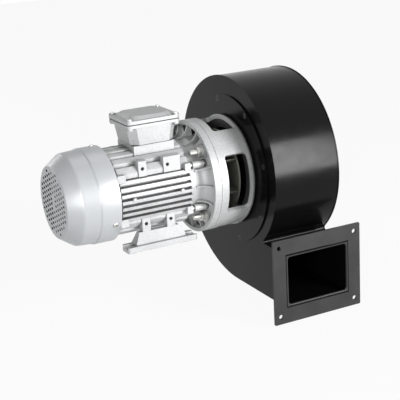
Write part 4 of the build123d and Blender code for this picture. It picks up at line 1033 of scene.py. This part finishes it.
def makeMotorFan(w):
    back = w["front"] - w["discT"]
    outline = [(w["rear"], w["bore"]), (w["rear"], w["hub"]), (back, w["hub"]),
               (back, w["disc"]), (w["front"], w["disc"]), (w["front"], w["bore"])]
    stand(turnedPiece("motorFanHub", outline, w["corners"]), "rotor", "motor_fan")
    blade = slabShape(w["hub"] - bladeRoot["inHub"], w["bladeR"], w["bladeT"] / 2,
                      -w["front"] + bladeRoot["inDisc"], -w["bladeRear"])
    ringOf("motorFanBlades", "rotor", "motor_fan", blade, w["blades"], 0.0, w["phase"], 0.0, -1,
           1.0, False)


def makeImpellerBlades(w):
    bm = bmesh.new()
    walls = []
    for radius in (w["curve"] + w["thick"] / 2, w["curve"] - w["thick"] / 2):
        for x in (w["rear"], w["front"]):
            line = []
            for k in range(w["steps"] + 1):
                turn = math.radians(-90 + w["sweep"] * k / w["steps"])
                u = w["centre"][0] + radius * math.cos(turn)
                v = w["centre"][1] + radius * math.sin(turn)
                line.append(bm.verts.new((v * mm, -u * mm, -x * mm)))
            walls.append(line)
    outerRear, outerFront, innerRear, innerFront = walls
    loop = [outerRear, outerFront, innerFront, innerRear]
    for k in range(w["steps"]):
        for a, b in zip(loop, loop[1:] + loop[:1]):
            bm.faces.new((a[k], a[k + 1], b[k + 1], b[k]))
    for k in (0, w["steps"]):
        bm.faces.new([line[k] for line in loop])
    bmesh.ops.recalc_face_normals(bm, faces=bm.faces)
    blade = linkMesh("blade", meshFrom("blade", bm))
    ringOf("impellerBlades", "rotor", "impeller_blades", blade, w["blades"], 0.0, w["phase"],
           0.0, -1, 1.0, False)


makeCoolingWheel(coolingWheel)
makeMotorFan(motorFan)
makeImpellerBlades(impeller)
print("wheels made")


# Camera at the photograph's place, taken from the solved view

cameraSetup = {"place": (-0.5749, -1.3192, 0.4898), "azimuth": -26.813, "elevation": 17.197,
               "roll": -3.237, "lens": 97.05, "sensor": 36.0, "farthest": 20}


def placeCamera(setup):
    az, el, roll = (math.radians(setup[key]) for key in ("azimuth", "elevation", "roll"))
    back = Vector((math.sin(az) * math.cos(el), -math.cos(az) * math.cos(el), math.sin(el)))
    right = Vector((math.cos(az), math.sin(az), 0))
    up = back.cross(right)
    turnedRight = math.cos(roll) * right + math.sin(roll) * up
    turnedUp = math.cos(roll) * up - math.sin(roll) * right
    lens = bpy.data.cameras.new("camera")
    lens.lens = setup["lens"]
    lens.sensor_width = setup["sensor"]
    lens.clip_end = setup["farthest"]
    camera = bpy.data.objects.new("camera", lens)
    axes = Matrix((turnedRight, turnedUp, back)).transposed().to_4x4()
    camera.matrix_world = Matrix.Translation(setup["place"]) @ axes
    scene.collection.objects.link(camera)
    scene.camera = camera


placeCamera(cameraSetup)


# Studio: pale floor, white room and soft lamps

studio = {
    "room": 0.09, "floorGap": 0.0005, "floorSize": 4.0, "floorGrey": 0.60,
    "floorRoughness": 0.7, "floorGlow": 0.93, "middle": (0.08, 0, 0.05),
    "lamps": {  # place, size, stretch, power
        "keyLamp": ((1.0, -1.7, 0.36), 0.55, 2.5, 60.0),
        "frontLamp": ((-1.15, -1.5, 0.36), 0.9, 1.0, 22.5),
        "topLamp": ((0.3, 0.7, 1.7), 1.2, 0.6, 2.5),
        "backLamp": ((-0.6, 1.8, 0.5), 1.0, 0.8, 7.0),
    },
}


def lamp(name, place, size, stretch, power, target):
    light = bpy.data.lights.new(name, "AREA")
    light.shape = "RECTANGLE"
    light.size = size
    light.size_y = size * stretch
    light.energy = power
    obj = bpy.data.objects.new(name, light)
    obj.location = place
    obj.rotation_euler = (Vector(target) - Vector(place)).to_track_quat("-Z", "Y").to_euler()
    scene.collection.objects.link(obj)


def seenAsBackground(tree):  # 1 on camera, mirror and glass rays
    path = put(tree, "ShaderNodeLightPath").outputs
    either = calc(tree, "MAXIMUM", path["Is Camera Ray"], path["Is Glossy Ray"])
    return calc(tree, "MAXIMUM", either, path["Is Transmission Ray"])


def makeRoom(look):
    world = bpy.data.worlds.new("room")
    scene.world = world
    world.use_nodes = True
    tree = world.node_tree
    background = tree.nodes["Background"]
    background.inputs["Color"].default_value = (1, 1, 1, 1)
    strength = put(tree, "ShaderNodeMapRange", {
        "Value": seenAsBackground(tree), "To Min": look["room"], "To Max": 1.0})
    tree.links.new(strength.outputs["Result"], background.inputs["Strength"])


def makeFloor(look):
    bm = bmesh.new()
    bmesh.ops.create_grid(bm, x_segments=1, y_segments=1, size=look["floorSize"])
    for vert in bm.verts:
        vert.co.z = cadBox[0][2] - look["floorGap"]
    floor = linkMesh("floor", meshFrom("floor", bm))
    mat, bsdf = shader("paleFloor", grey(look["floorGrey"]), 0.0, look["floorRoughness"])
    glow = addNode(mat, "ShaderNodeEmission", {"Color": (1, 1, 1, 1), "Strength": 1.0})
    share = calc(mat.node_tree, "MULTIPLY", seenAsBackground(mat.node_tree), look["floorGlow"])
    mix = addNode(mat, "ShaderNodeMixShader", {0: share, 1: bsdf.outputs[0], 2: glow.outputs[0]})
    surface = mat.node_tree.nodes["Material Output"].inputs["Surface"]
    mat.node_tree.links.new(mix.outputs[0], surface)
    floor.data.materials.append(mat)


makeRoom(studio)
makeFloor(studio)
for lampName, lampSettings in studio["lamps"].items():
    lamp(lampName, *lampSettings, studio["middle"])
scene.view_settings.view_transform = "Standard"
print("camera and studio set")
